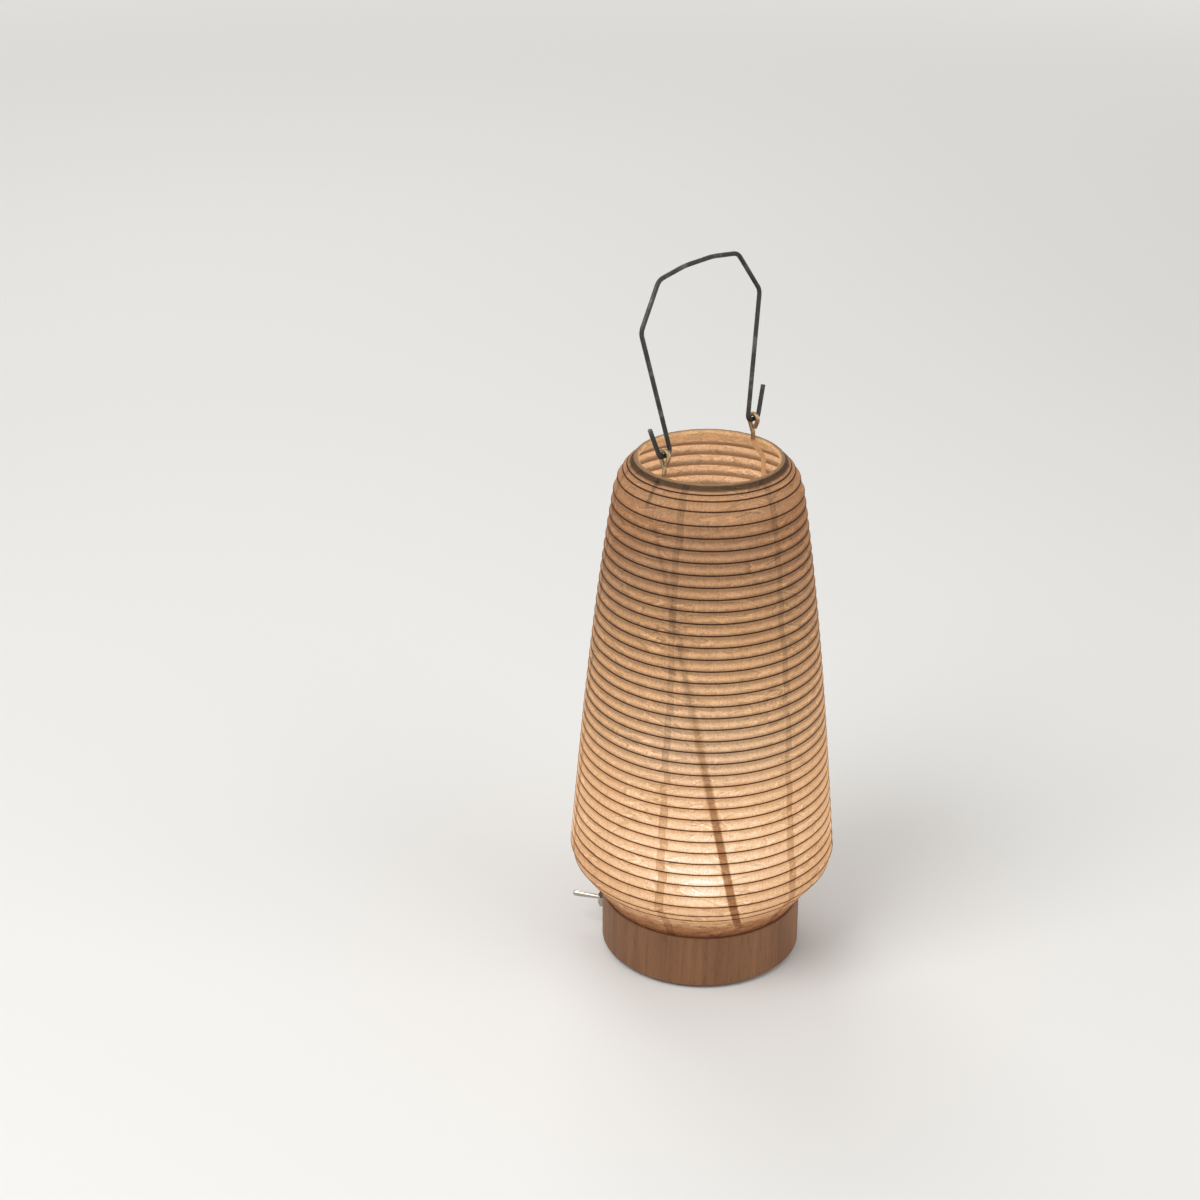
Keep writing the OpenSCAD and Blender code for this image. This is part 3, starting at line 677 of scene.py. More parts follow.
@dataclass(frozen=True)
class PaperFinish:
    """Hand-made paper with the light behind it, painted into its colour and glow."""

    legs: Legs = Legs()
    glow: Glow = Glow()
    laps: Laps = Laps()
    folds: Folds = Folds()
    # Way round the axis that the painted glow and its bright spots face
    front: float = math.radians(-139.5)
    top: float = 250 * MM
    hem_shade_edge: Pair = (240.8 * MM, 241.7 * MM)
    hem_shade: float = 0.8
    pale_above: Pair = (95 * MM, 130 * MM)
    grey_above: Pair = (125 * MM, 155 * MM)
    rib_light: float = 0.06
    rib_edge: Pair = (0.17 * MM, 0.50 * MM)
    high_above: Pair = (80 * MM, 125 * MM)
    flat_above: Pair = (224 * MM, 231 * MM)
    flat: float = 0.62
    taut: Pair = (0.04, 0.0)
    ragged_shade: Grain = Grain(330.0, 4.0, 0.72, 2.6)
    ragged_shade_reach: float = 0.42
    ragged_shade_fades: tuple[Pair, Pair] = ((0.05, 0.16), (1.0, 0.86))
    ragged_inside_shadow: Grain = Grain(300.0, 3.0, 0.6, 2.5)
    ragged_inside_shadow_reach: float = 0.3
    rib_shadow_inside: float = 0.56
    rib_shadow_inside_edge: Pair = (0.46, 0.88)
    rib_shade_inside: float = 0.26
    rib_shade_inside_edge: Pair = (0.02, 0.16)
    pulp: tuple[tuple[Grain, float], ...] = (
        (Grain(150.0, 3.0, 0.6), 0.26), (Grain(1250.0, 2.0, 0.7), 0.85),
        (Grain(1500.0, 2.0, 0.6, 0.22), 0.5), (Grain(230.0, 3.0, 0.6, 4.0), 0.3),
    )
    relief: tuple[tuple[Grain, float], ...] = (
        (Grain(260.0, 4.0, 0.62), 0.5), (Grain(110.0, 2.0, 0.5, 3.4), 0.3),
        (Grain(1800.0, 2.0, 0.6), 0.12),
    )
    crease: float = 6.0
    depth: float = 0.25 * MM
    rough: float = 0.85
    shine: float = 0.2

    def outside(self) -> bpy.types.Material:
        """Makes the finish of the side that faces out.

        Returns:
            The material.
        """
        m = Maker.material("paper_outside")
        z = m.xyz[2]
        count, loose = m.painted("rib_count"), m.painted("loose")
        level = self._reach(m) * self._rib(m.painted("rib_gap"))
        thin = self._between(m, count.fraction(), loose) * self._laps(m, count)
        thin = thin * self._pulp(m) * (self._folds(m) + self._wrinkles(m, loose))
        thin = thin * m.table(loose, self.glow.loose)
        # Painted shade on the outside of the paper rolled round the mouth ring
        dim = 1.0 - self.hem_shade * z.step(*self.hem_shade_edge)
        for part, edge in ((thin, self.pale_above), (self._shadow(m), self.grey_above)):
            high = z.step(*edge)
            level = level * (1.0 - (1.0 - high) * (1.0 - part))
            dim = dim * (1.0 - high * (1.0 - part))
        return self._finish(m, level, dim)

    def inside(self) -> bpy.types.Material:
        """Makes the finish of the side that faces the light, with painted lamplight and painted rib
        shadows.

        Returns:
            The material.
        """
        m = Maker.material("paper_inside")
        phase = m.painted("rib_count").fraction()
        ragged = m.swing(self.ragged_inside_shadow) * self.ragged_inside_shadow_reach
        level = m.xyz[2].bell(*self.glow.inner_bell).scaled(self.glow.inner)
        # Painted shadow of each rib on the paper above it, with a ragged edge, and painted shade
        # just below each rib
        dim = 1.0 - self.rib_shadow_inside * (phase + ragged).step(*self.rib_shadow_inside_edge)
        rib = 1.0 - self.rib_shade_inside + self.rib_shade_inside * phase.step(*self.rib_shade_inside_edge)
        return self._finish(m, level, dim * rib * self._pulp(m) * self._folds(m))

    def _finish(self, m: Maker, level: Value, dim: Value) -> bpy.types.Material:
        """Shares the paper's colour between the painted glow of the lamplight through it and the
        room's light.

        Args:
            m: makes the nodes.
            level: how much light comes through, which sets the colour.
            dim: what then only makes it darker.

        Returns:
            The material.
        """
        colour = m.shade(m.ramp(level, self.glow.stops), dim)
        own, reflected = (m.blend(1.0, colour, (share,) * 3, "MULTIPLY")
                          for share in (self.glow.own, self.glow.reflected))
        return m.surface(Base_Color=reflected, Roughness=self.rough, Emission_Color=own,
                         Specular_IOR_Level=self.shine, Normal=m.bump(self._relief(m), self.depth))

    def _reach(self, m: Maker) -> Value:
        """How much light reaches the paper: most low down, with bright places facing out.

        Args:
            m: makes the nodes.

        Returns:
            The level of light.
        """
        z, sway = m.xyz[2], self.glow.sway
        off = m.turn - self.front
        level = m.table(z, self.glow.upward, self.top)
        level = level * (1.0 - sway + sway * (off * 2.0).cosine())
        for spot in self.glow.brights:
            apart = abs((off / spot.period + 0.5).fraction() - 0.5) * spot.period
            level = level + spot.light * apart.bell(0.0, spot.turn) * z.bell(spot.z, spot.reach)
        return level

    def _between(self, m: Maker, phase: Value, loose: Value) -> Value:
        """Paper that sinks in below a rib turns away from the light, and swells out above the next.

        Args:
            m: makes the nodes.
            phase: how far down it is from one rib to the next.
            loose: how far down the plain band it is.

        Returns:
            How much light it keeps.
        """
        z = m.xyz[2]
        # Ragged edge of the painted shade between the ribs
        ragged = m.swing(self.ragged_shade) * self.ragged_shade_reach
        for edge in self.ragged_shade_fades:
            ragged = ragged * phase.step(*edge)
        low, high = (m.table(phase + ragged, t) for t in (self.glow.low, self.glow.high))
        wave = low + (high - low) * z.step(*self.high_above)
        depth = loose.step(*self.taut) * (1.0 - self.flat * z.step(*self.flat_above))
        return 1.0 - depth * (1.0 - wave)

    def _rib(self, gap: Value) -> Value:
        """The rib behind the paper holds back the lamplight, painted as a thin dark line of shade.
        """
        return self.rib_light + (1.0 - self.rib_light) * gap.step(*self.rib_edge)

    def _laps(self, m: Maker, count: Value) -> Value:
        """How much light the laps of the paper leave.

        Args:
            m: makes the nodes.
            count: the rib count, whole at each rib.

        Returns:
            How much light is left, as a share.
        """
        laps, z = self.laps, m.xyz[2]
        share = (m.turn - laps.first) / laps.turn + 0.5
        cell = m.joined(share.whole(), count.whole(), 0.0)
        chance = m.node("ShaderNodeTexWhiteNoise", {"noise_dimensions": "3D"}, {"Vector": cell})
        first, second, _ = m.along(chance.outputs["Color"])
        radius = m.measure("LENGTH", m.vector("MULTIPLY", m.where, (1.0, 1.0, 0.0)).outputs[0])
        off = share.fraction() - 0.5 - (first - 0.5) * laps.sway
        least, more, low = laps.width
        width = laps.wide * (least + more * second + low * z.step(*laps.wider_below))
        past = (abs(off) * laps.turn * radius - width) / laps.rim
        # Painted shade of the lap where the double paper holds back the lamplight, and its darker
        # rim
        least, more, low = laps.dark
        dark = least + more * second + low * z.step(*laps.darker_below)
        return (1.0 - (1.0 - past.step(*laps.rim_step)) * dark
                - past.bell(*laps.rim_bell) * laps.rim_dark)

    def _shadow(self, m: Maker) -> Value:
        """Shadow of an upright wire: crisp and dark low down, where the light is near.

        Args:
            m: makes the nodes.

        Returns:
            How much light is left, as a share.
        """
        legs, (x, y, z) = self.legs, m.xyz
        ray = m.vector("SUBTRACT", m.joined(abs(x), y, z), legs.light).outputs[0]
        run = (Vector(legs.foot) - Vector(legs.top)).normalized()
        start = Vector(legs.top) - Vector(legs.light)
        cross = m.vector("CROSS_PRODUCT", ray, tuple(run)).outputs[0]
        away = abs(m.measure("DOT_PRODUCT", cross, tuple(start))) / m.measure("LENGTH", cross)
        soft = legs.crisp + legs.blur * z.step(*legs.blurred)
        edge = ((away - legs.wire) / soft).step(-1.0, 1.0)
        leg = 1.0 - m.table(z, legs.dark, self.top) * (1.0 - edge)
        # The wire itself near the top, painted as a dark line of shade
        wire = abs(y).step(*legs.through_wide) * z.step(*legs.through_above)
        return leg * (1.0 - legs.through * wire)

    def _pulp(self, m: Maker) -> Value:
        """Cloudy pulp with a fine speckle, upright streaks and flat waves.

        Args:
            m: makes the nodes.

        Returns:
            A tone about 1.
        """
        tone: Number = 1.0
        for pattern, strength in self.pulp:
            tone = tone + strength * m.swing(pattern)
        return tone

    def _folds(self, m: Maker) -> Value:
        """Long thin folds that slant over the paper, painted as light on one side and shade on the
        other.

        Args:
            m: makes the nodes.

        Returns:
            Painted light and shade, about 1.
        """
        folds, (x, y, z) = self.folds, m.xyz
        lean = folds.across[0] * x - folds.across[1] * y
        light: Number = 1.0
        for slope, start, coarse in folds.families:
            bent = m.joined(x, y, z * folds.steep + slope * lean + start)
            fold = m.grain(Grain(coarse, 1.0, 0.5), bent).fold(folds.width)
            some = m.grain(folds.some, m.joined(x, y, z + start)).step(*folds.some_edge)
            light = light + folds.light * fold * some
        return light

    def _wrinkles(self, m: Maker, loose: Value) -> Value:
        """Flat wrinkles of the band that no rib holds, painted as light and shade.

        Args:
            m: makes the nodes.
            loose: how far down the plain band it is.

        Returns:
            The painted light and shade that they add.
        """
        folds = self.folds
        wrinkle = m.grain(folds.wrinkle).fold(folds.wrinkle_width)
        return folds.wrinkle_light * wrinkle * loose.step(*folds.wrinkle_edge)

    def _relief(self, m: Maker) -> Value:
        """Small creases and the paper's tooth, as a height.

        Args:
            m: makes the nodes.

        Returns:
            The height, from about 0 to 1.
        """
        (broad, high), (line, mid), (tooth, low) = self.relief
        crease = (1.0 - abs(m.swing(line)) * self.crease).most(0.0)
        return high * m.grain(broad) + mid * crease + low * m.grain(tooth)


@dataclass(frozen=True)
class HemFinish:
    """Paper wrapped round the mouth ring: painted shade outside, and painted lamplight where it
    faces the light.
    """

    dark: Colour = (0.10, 0.058, 0.036)
    lit: Colour = (0.68, 0.41, 0.21)
    cloud: Grain = Grain(420.0, 4.0, 0.65)
    wrinkle: Grain = Grain(150.0, 3.0, 0.65, 3.5)
    width: float = 0.08
    tone: Triple = (0.72, 0.56, 0.9)
    own: float = 0.60
    given_up: float = 0.55
    rough: float = 0.8
    shine: float = 0.05
    depth: float = 0.3 * MM

    def material(self) -> bpy.types.Material:
        """Makes the finish.

        Returns:
            The material.
        """
        m = Maker.material("paper_hem")
        lit, cloud = m.painted("lit"), m.grain(self.cloud)
        wrinkle = m.grain(self.wrinkle).fold(self.width)
        base, cloudy, wrinkled = self.tone
        # Painted lamplight and painted shade, mixed by how much the paper faces the light inside
        colour = m.shade(m.blend(lit, self.dark, self.lit),
                         base + cloudy * cloud + wrinkled * wrinkle * lit)
        return m.surface(Base_Color=m.shade(colour, 1.0 - self.given_up * lit),
                         Roughness=self.rough, Emission_Color=m.shade(colour, lit * self.own),
                         Specular_IOR_Level=self.shine, Normal=m.bump(cloud, self.depth))


@dataclass(frozen=True)
class WoodFinish:
    """Turned wood with upright grain: broad bands of tone, thin growth lines and fine pores."""

    light: Colour = (0.275, 0.132, 0.060)
    middle: Colour = (0.215, 0.098, 0.043)
    dark: Colour = (0.142, 0.061, 0.027)
    heart: Pair = (0.031, -0.118)
    ring_pitch: float = 5.5 * MM
    wander: float = 26 * MM
    slant: float = 0.04
    wandering: Grain = Grain(34.0, 3.0, 0.5, 0.12)
    bands: Grain = Grain(42.0, 1.0, 0.4, 0.05)
    fibres: Grain = Grain(1500.0, 3.0, 0.65, 0.04)
    streaks: Grain = Grain(380.0, 3.0, 0.6, 0.03)
    pores: Grain = Grain(2400.0, 1.0, 0.5, 0.06)
    late: Pair = (0.30, 0.92)
    early: Pair = (0.94, 1.0)
    pore_edge: Pair = (0.62, 0.70)
    pore_dark: float = 0.30
    tone: tuple[float, ...] = (-0.12, 0.13, 1.05, 0.55, 0.62)
    places: Triple = (0.1, 0.5, 0.9)
    rough: Pair = (0.5, 0.16)
    relief: Pair = (0.6, 0.4)
    shine: float = 0.35
    depth: float = 0.05 * MM

    def material(self) -> bpy.types.Material:
        """Makes the finish.

        Returns:
            The material.
        """
        m = Maker.material("turned_wood")
        x, y, z = m.xyz
        off_x = x - self.heart[0] + m.swing(self.wandering) * self.wander
        off_y = y - self.heart[1] + z * self.slant
        season = ((off_x * off_x + off_y * off_y) ** 0.5 / self.ring_pitch).fraction()
        line = season.step(*self.late) * (1.0 - season.step(*self.early))
        fine, streak = m.grain(self.fibres), m.grain(self.streaks)
        base, lined, banded, streaked, fibrous = self.tone
        tone = base + lined * line + banded * m.swing(self.bands)
        tone = tone + streaked * streak + fibrous * fine
        colour = m.ramp(tone, zip(self.places, (self.light, self.middle, self.dark)))
        pore = m.grain(self.pores).step(*self.pore_edge)
        return m.surface(Base_Color=m.shade(colour, 1.0 - self.pore_dark * pore),
                         Roughness=streak.scaled(self.rough),
                         Specular_IOR_Level=self.shine,
                         Normal=m.bump(self.relief[0] * fine - self.relief[1] * pore, self.depth))


@dataclass(frozen=True)
class WireFinish:
    """Drawn wire: fine dull streaks, brighter rubbed places, and painted lamplight glowing on its
    lower part.
    """

    name: str
    colour: Colour
    rubbed: Colour
    metallic: float = 1.0
    rough: float = 0.34
    lit_below: float = 0.0
    lit: Colour = (0.36, 0.20, 0.10)
    fade: float = 2 * MM
    patches: Grain = Grain(140.0, 4.0, 0.6)
    streaks: Grain = Grain(2400.0, 2.0, 0.6)
    worn: Pair = (0.48, 0.72)
    smooth: Pair = (0.5, 0.8)
    tone: Pair = (0.82, 0.36)
    glow: Pair = (0.7, 0.6)
    duller: float = 0.18
    smoother: float = 0.12
    depth: float = 0.02 * MM

    def material(self) -> bpy.types.Material:
        """Makes the finish.

        Returns:
            The material.
        """
        m = Maker.material(self.name)
        patch, fine = m.grain(self.patches), m.grain(self.streaks)
        colour = m.blend(patch.step(*self.worn), self.colour, self.rubbed)
        extra = {}
        # Painted lamplight glowing on the part of the wire below the mouth
        if self.lit_below:
            reach = m.xyz[2].step(self.lit_below, self.lit_below - self.fade)
            extra["Emission_Color"] = m.shade(self.lit, reach * patch.scaled(self.glow))
        rough = self.rough + self.duller * fine - self.smoother * patch.step(*self.smooth)
        return m.surface(Base_Color=m.shade(colour, fine.scaled(self.tone)),
                         Metallic=self.metallic, Roughness=rough,
                         Normal=m.bump(fine, self.depth), **extra)


@dataclass(frozen=True)
class PlainFinish:
    """Moulded, cast or plated surface with a fine tooth and a little change of tone."""

    name: str
    colour: Colour
    rough: float = 0.5
    metallic: float = 0.0
    tooth: float = 900.0
    depth: float = 0.02 * MM
    change: float = 0.12
    own_light: Colour | None = None
    light_strength: float = 0.0
    patches: Grain = Grain(120.0, 3.0, 0.6)
    uneven: float = 0.1

    def material(self) -> bpy.types.Material:
        """Makes the finish.

        Returns:
            The material.
        """
        m = Maker.material(self.name)
        fine = m.grain(Grain(self.tooth, 2.0, 0.6))
        tone = 1.0 - self.change / 2 + self.change * m.grain(self.patches)
        extra = {}
        if self.own_light is not None:
            extra = {"Emission_Color": self.own_light, "Emission_Strength": self.light_strength}
        return m.surface(Base_Color=m.shade(self.colour, tone), Metallic=self.metallic,
                         Roughness=self.rough + self.uneven * (fine - MIDDLE),
                         Normal=m.bump(fine, self.depth), **extra)


@dataclass(frozen=True)
class StripFinish:
    """Split bamboo: pale fibres along a dark strip, with a painted glow of the lamplight inside the
    shade.
    """

    dark: Colour = (0.23, 0.125, 0.062)
    pale: Colour = (0.36, 0.21, 0.11)
    fibres: Grain = Grain(4200.0, 3.0, 0.6)
    knots: Grain = Grain(60.0, 2.0, 0.5)
    drawn: float = 0.02
    fibre_edge: Pair = (0.35, 0.75)
    fibre_pale: float = 0.7
    tone: Pair = (0.8, 0.4)
    # Strength of the painted lamplight glow
    own: Pair = (0.32, 0.1)
    rough: Pair = (0.55, 0.2)
    depth: float = 0.04 * MM

    def material(self) -> bpy.types.Material:
        """Makes the finish.

        Returns:
            The material.
        """
        m = Maker.material("split_bamboo")
        fibre = m.grain(self.fibres, m.joined(m.turn * self.drawn, 0.0, m.xyz[2]))
        knot = m.grain(self.knots)
        pale = fibre.step(*self.fibre_edge) * self.fibre_pale
        colour = m.shade(m.blend(pale, self.dark, self.pale), knot.scaled(self.tone))
        # The emission is painted lamplight from the light inside the shade
        return m.surface(Base_Color=colour, Roughness=fibre.scaled(self.rough),
                         Emission_Color=m.shade(colour, knot.scaled(self.own)),
                         Normal=m.bump(fibre, self.depth))


class Slot(Enum):
    """Name of a material slot for the paper; nothing in this script uses it."""

    PAPER = "paper"


class Body(Enum):
    """Bodies of the frame that new pieces ride on."""

    LAMP = "lamp"


def settle(name: str, bm: bmesh.types.BMesh, materials: Iterable[bpy.types.Material],
           smooth: bool = True) -> bpy.types.Object:
    """Turns a bmesh into a finished object at the origin.

    Args:
        name: the piece's name.
        bm: its mesh, which is freed.
        materials: its finishes, in the order of its faces' numbers.
        smooth: whether its faces are shaded round.

    Returns:
        The new object.
    """
    mesh = bpy.data.meshes.new(name)
    for face in bm.faces:
        face.smooth = smooth
    bm.to_mesh(mesh)
    bm.free()
    for material in materials:
        mesh.materials.append(material)
    piece = bpy.data.objects.new(name, mesh)
    bpy.context.scene.collection.objects.link(piece)
    return piece


@dataclass
class Skin:
    """The paper of the shade, over its ribs and round both rings.

    Waves and band_waves are how often its unevenness comes round the shade, and in a metre
    upwards.
    """

    outline: Outline
    around: int = 180
    thick: float = 0.2 * MM
    cover: float = 0.35 * MM
    sag: float = 0.4 * MM
    crumple: float = 0.16 * MM
    steps: tuple[float, ...] = (0.0, 0.12, 0.37, 0.63, 0.88)
    clear_of_mouth: float = 0.3
    band_steps: int = 14
    flap_steps: int = 7
    flap_turns: Pair = (math.radians(34), math.radians(53))
    mouth_wrap: float = math.radians(172)
    mouth_lap: float = math.radians(22)
    foot_wrap: float = math.radians(130)
    foot_count: float = 1.001
    wrap_steps: int = 8
    no_rib: float = 2 * MM
    # How much painted lamplight the hem gets as it turns round the ring: share, first angle and run
    lit: tuple[Triple, ...] = (
        (0.3, math.radians(22), math.radians(26)), (0.7, math.radians(105), math.radians(40)),
    )
    merge: float = 1e-6
    held: float = 1.2 * MM
    waves: Pair = (9.0, 160.0)
    fine: float = 2.3
    fine_share: float = 0.5
    fine_start: Triple = (7.0, 3.0, 1.0)
    flap: Pair = (1.2, 0.3)
    slip: float = 0.9 * MM
    slip_round: Pair = (5.0, 17.0)
    slip_fine: float = 0.6
    hem: float = 1.3
    band: float = 1.8
    band_waves: Pair = (4.0, 420.0)
    band_fine: float = 2.1
    band_from: float = 0.01

    @cached_property
    def stations(self) -> list[Station]:
        """Every place that holds the paper."""
        return self.outline.stations()

    @property
    def hem_rows(self) -> int:
        """Number of the last row of the mouth's hem."""
        return self.flap_steps + self.wrap_steps

    def _arc(self, middle: Pair, reach: float, turns: Pair, steps: int, count: float = 0.0,
             side: float = 1.0) -> list[Row]:
        """Rows of paper on an arc.

        Args:
            middle: radius and height of the arc's middle.
            reach: its radius.
            turns: its first and last angle.
            steps: how many steps it has.
            count: the rib count that the rows keep.
            side: 1 where the paper faces away from the middle, -1 where it faces it.

        Returns:
            The rows, one more than there are steps.
        """
        (r, z), (first, last) = middle, turns
        rows = []
        for i in range(steps + 1):
            angle = first + (last - first) * i / steps
            out_r, out_z = math.cos(angle), math.sin(angle)
            rows.append(Row(r + reach * out_r, z + reach * out_z, side * out_r, side * out_z,
                            count, self.no_rib, 1.0))
        return rows

    def _wrap(self, held: Station, turns: Pair, count: float) -> list[Row]:
        """Rows of paper round a ring."""
        return self._arc((held.r, held.z), held.wire + self.cover, turns, self.wrap_steps, count)

    def _flap(self) -> list[Row]:
        """Rows of the paper's end, pasted down inside the shoulder over its upper ribs.

        Returns:
            The rows, from the rim up.
        """
        reach = self.outline.shoulder - self.outline.rib - self.cover
        peak = tuple(self.outline.peak())
        return self._arc(peak, reach, self.flap_turns, self.flap_steps, side=-1.0)[:-1]

    def _span(self, index: int) -> list[Row]:
        """Rows of paper from one station to just before the next.

        Args:
            index: the first station's number.

        Returns:
            The rows.
        """
        near, far = self.stations[index], self.stations[index + 1]
        length = math.hypot(far.r - near.r, far.z - near.z)
        sag = self.sag * min(1.0, length / self.outline.pitch)
        first, last = index == 0, index == len(self.stations) - 2
        shares = [i / self.band_steps for i in range(self.band_steps)] if last else self.steps
        rows = []
        for share in shares:
            if first and share < self.clear_of_mouth:
                continue
            out_r = near.out_r + (far.out_r - near.out_r) * share
            out_z = near.out_z + (far.out_z - near.out_z) * share
            wire = near.wire + (far.wire - near.wire) * share
            out = wire + self.cover - sag * (1 - abs(2 * share - 1) ** 2.0)
            up, down = 1.0 if first else share, 1.0 if last else 1 - share
            rows.append(Row(near.r + (far.r - near.r) * share + out * out_r,
                            near.z + (far.z - near.z) * share + out * out_z,
                            out_r, out_z, index + share, length * min(up, down),
                            share if last else 0.0))
        return rows

    def rows(self) -> list[Row]:
        """Every row of the paper, from the hem in the mouth to the hem on the base.

        Returns:
            The rows, in order.
        """
        mouth, foot = self.stations[0], self.stations[-1]
        mouth_turn = math.atan2(mouth.out_z, mouth.out_r)
        under_turn = math.atan2(foot.out_z, foot.out_r)
        rows = self._flap()
        rows += self._wrap(mouth, (mouth_turn + self.mouth_wrap, mouth_turn - self.mouth_lap), 0.0)
        for index in range(len(self.stations) - 1):
            rows += self._span(index)
        return rows + self._wrap(foot, (under_turn, under_turn - self.foot_wrap),
                                 len(self.stations) - self.foot_count)

    def build(self, finish: PaperFinish, hem: HemFinish) -> bpy.types.Object:
        """Models the skin.

        Args:
            finish: the paper's finish.
            hem: the finish of the paper round the mouth ring.

        Returns:
            The finished piece.
        """
        rows = self.rows()
        bm = bmesh.new()
        layers = {name: bm.verts.layers.float.new(name)
                  for name in ("rib_count", "rib_gap", "loose", "lit", "row")}
        profile = []
        for number, row in enumerate(rows):
            vert = bm.verts.new((row.r, 0.0, row.z))
            vert[layers["rib_count"]] = row.count
            vert[layers["rib_gap"]] = row.gap
            vert[layers["loose"]] = row.loose if number > self.hem_rows else 0.0
            turn = math.atan2(row.out_z, row.out_r)
            turn = turn + math.tau if turn < -math.pi / 2 else turn
            vert[layers["lit"]] = 1.0 if number < self.flap_steps else sum(
                part * min(1.0, max(0.0, (turn - start) / run)) for part, start, run in self.lit)
            vert[layers["row"]] = float(number)
            profile.append(vert)
        edges = [bm.edges.new(pair) for pair in zip(profile, profile[1:])]
        bmesh.ops.spin(bm, geom=profile + edges, cent=(0, 0, 0), axis=(0, 0, 1), dvec=(0, 0, 0),
                       angle=math.tau, steps=self.around, use_merge=True, use_duplicate=False)
        bmesh.ops.remove_doubles(bm, verts=bm.verts, dist=self.merge)
        self._face_out(bm)
        self._crumple(bm, rows, layers["row"])
        for face in bm.faces:
            in_hem = all(round(vert[layers["row"]]) <= self.hem_rows for vert in face.verts)
            face.material_index = 2 if in_hem else 0
        skin = settle("paper_skin", bm, (finish.outside(), finish.inside(), hem.material()))
        wall = skin.modifiers.new("thickness", "SOLIDIFY")
        wall.thickness = self.thick
        wall.offset = -1.0
        wall.use_even_offset = True
        wall.material_offset = 1
        wall.material_offset_rim = 0
        return skin

    @staticmethod
    def _face_out(bm: bmesh.types.BMesh) -> None:
        """Turns every face outwards.

        Args:
            bm: the paper's mesh.
        """
        bmesh.ops.recalc_face_normals(bm, faces=bm.faces)
        widest = max(bm.faces, key=lambda face: face.calc_center_median().xy.length)
        if widest.normal.xy.dot(widest.calc_center_median().xy) < 0:
            bmesh.ops.reverse_faces(bm, faces=bm.faces)

    def _crumple(self, bm: bmesh.types.BMesh, rows: list[Row], layer: Any) -> None:
        """Moves the paper in and out between its ribs, and more where nothing holds it.

        Args:
            bm: the paper's mesh.
            rows: its rows.
            layer: where each point keeps the number of its row.
        """
        for vert in bm.verts:
            number = round(vert[layer])
            row = rows[number]
            turn = math.atan2(vert.co.y, vert.co.x)
            around = Vector((math.cos(turn), math.sin(turn), 0.0))
            out = around * row.out_r + Vector((0.0, 0.0, row.out_z))
            spot = self._spot(self.waves, around, row)
            start = Vector(self.fine_start)
            move = noise.noise(spot) + self.fine_share * noise.noise(spot * self.fine + start)
            if number < self.flap_steps:
                swell, lift = self.flap
                vert.co += out * self.crumple * (swell * move + lift)
                coarse, fine = (noise.noise(around * often) for often in self.slip_round)
                down = Vector((0.0, 0.0, row.out_r)) - around * row.out_z
                vert.co += down * -self.slip * (coarse + self.slip_fine * fine) * (
                    1.0 - number / self.flap_steps)
            elif number <= self.hem_rows:
                vert.co += out * self.crumple * self.hem * abs(move)
            elif row.loose > self.band_from:
                spot = self._spot(self.band_waves, around, row)
                fold = noise.noise(spot) + self.fine_share * noise.noise(spot * self.band_fine)
                vert.co += out * self.crumple * self.band * (
                    move * self.fine_share + fold) * math.sin(math.pi * min(1.0, row.loose))
            else:
                vert.co += out * self.crumple * move * min(1.0, row.gap / self.held)

    @staticmethod
    def _spot(waves: Pair, around: Vector, row: Row) -> Vector:
        """Where a point reads its noise."""
        return Vector((around.x * waves[0], around.y * waves[0], row.z * waves[1]))


@dataclass
class Shade:
    """Paper and ribs."""

    outline: Outline

    def build(self) -> list[bpy.types.Object]:
        """Models the paper and dresses the ribs.

        Returns:
            The new pieces.
        """
        skin = Skin(self.outline).build(PaperFinish(), HemFinish())
        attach(skin, Body.LAMP.value)
        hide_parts("shade_paper")
        dress(StripFinish().material(), "shade_ribs")
        return [skin]


def dress(material: bpy.types.Material, *nodes: str) -> None:
    """Gives nodes of the frame their finish.

    Args:
        material: the finish.
        nodes: the nodes' names.
    """
    for name in nodes:
        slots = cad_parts[name].data.materials
        slots.clear()
        slots.append(material)


@dataclass
class Dressed:
    """Pieces of the frame that keep their own solids: a finish and its nodes in each row."""

    finishes: Finishes = ()

    def build(self) -> None:
        """Gives the nodes their finishes."""
        for finish, *nodes in self.finishes:
            dress(finish.material(), *nodes)


@dataclass
class Wires(Dressed):
    """Uprights, handle and the two rings."""

    finishes: Finishes = (
        (WireFinish("dark_wire", (0.052, 0.05, 0.045), (0.15, 0.145, 0.13), 0.85, 0.36),
         "handle", "mouth_ring", "bottom_ring"),
        (WireFinish("bright_wire", (0.33, 0.23, 0.13), (0.58, 0.43, 0.26), lit_below=244 * MM),
         "left_upright", "right_upright"),
    )


@dataclass
class Base(Dressed):
    """Turned base with its cover, screws and feet."""

    finishes: Finishes = (
        (WoodFinish(), "wood_base"),
        (PlainFinish("black_cover", (0.022, 0.021, 0.02), 0.55),
         "bottom_cover", "battery_holder", "black_lead"),
        (PlainFinish("black_rubber", (0.014, 0.014, 0.014), 0.8, change=0.2), "rubber_feet"),
        (PlainFinish("zinc_plate", (0.55, 0.55, 0.53), 0.32, 1.0, 700.0, 0.01 * MM),
         "cover_screws", "battery_contacts", "led_screws", "toggle_terminals"),
    )


@dataclass
class Switch(Dressed):
    """Toggle switch in the side of the base, and its leads."""

    finishes: Finishes = (
        (PlainFinish("nickel_plate", (0.42, 0.39, 0.34), 0.24, 1.0, 500.0, 0.01 * MM),
         "toggle_lever", "toggle_bush", "toggle_nut"),
        (PlainFinish("red_plastic", (0.32, 0.03, 0.018), 0.3),
         "toggle_body", "red_lead", "switch_lead"),
    )


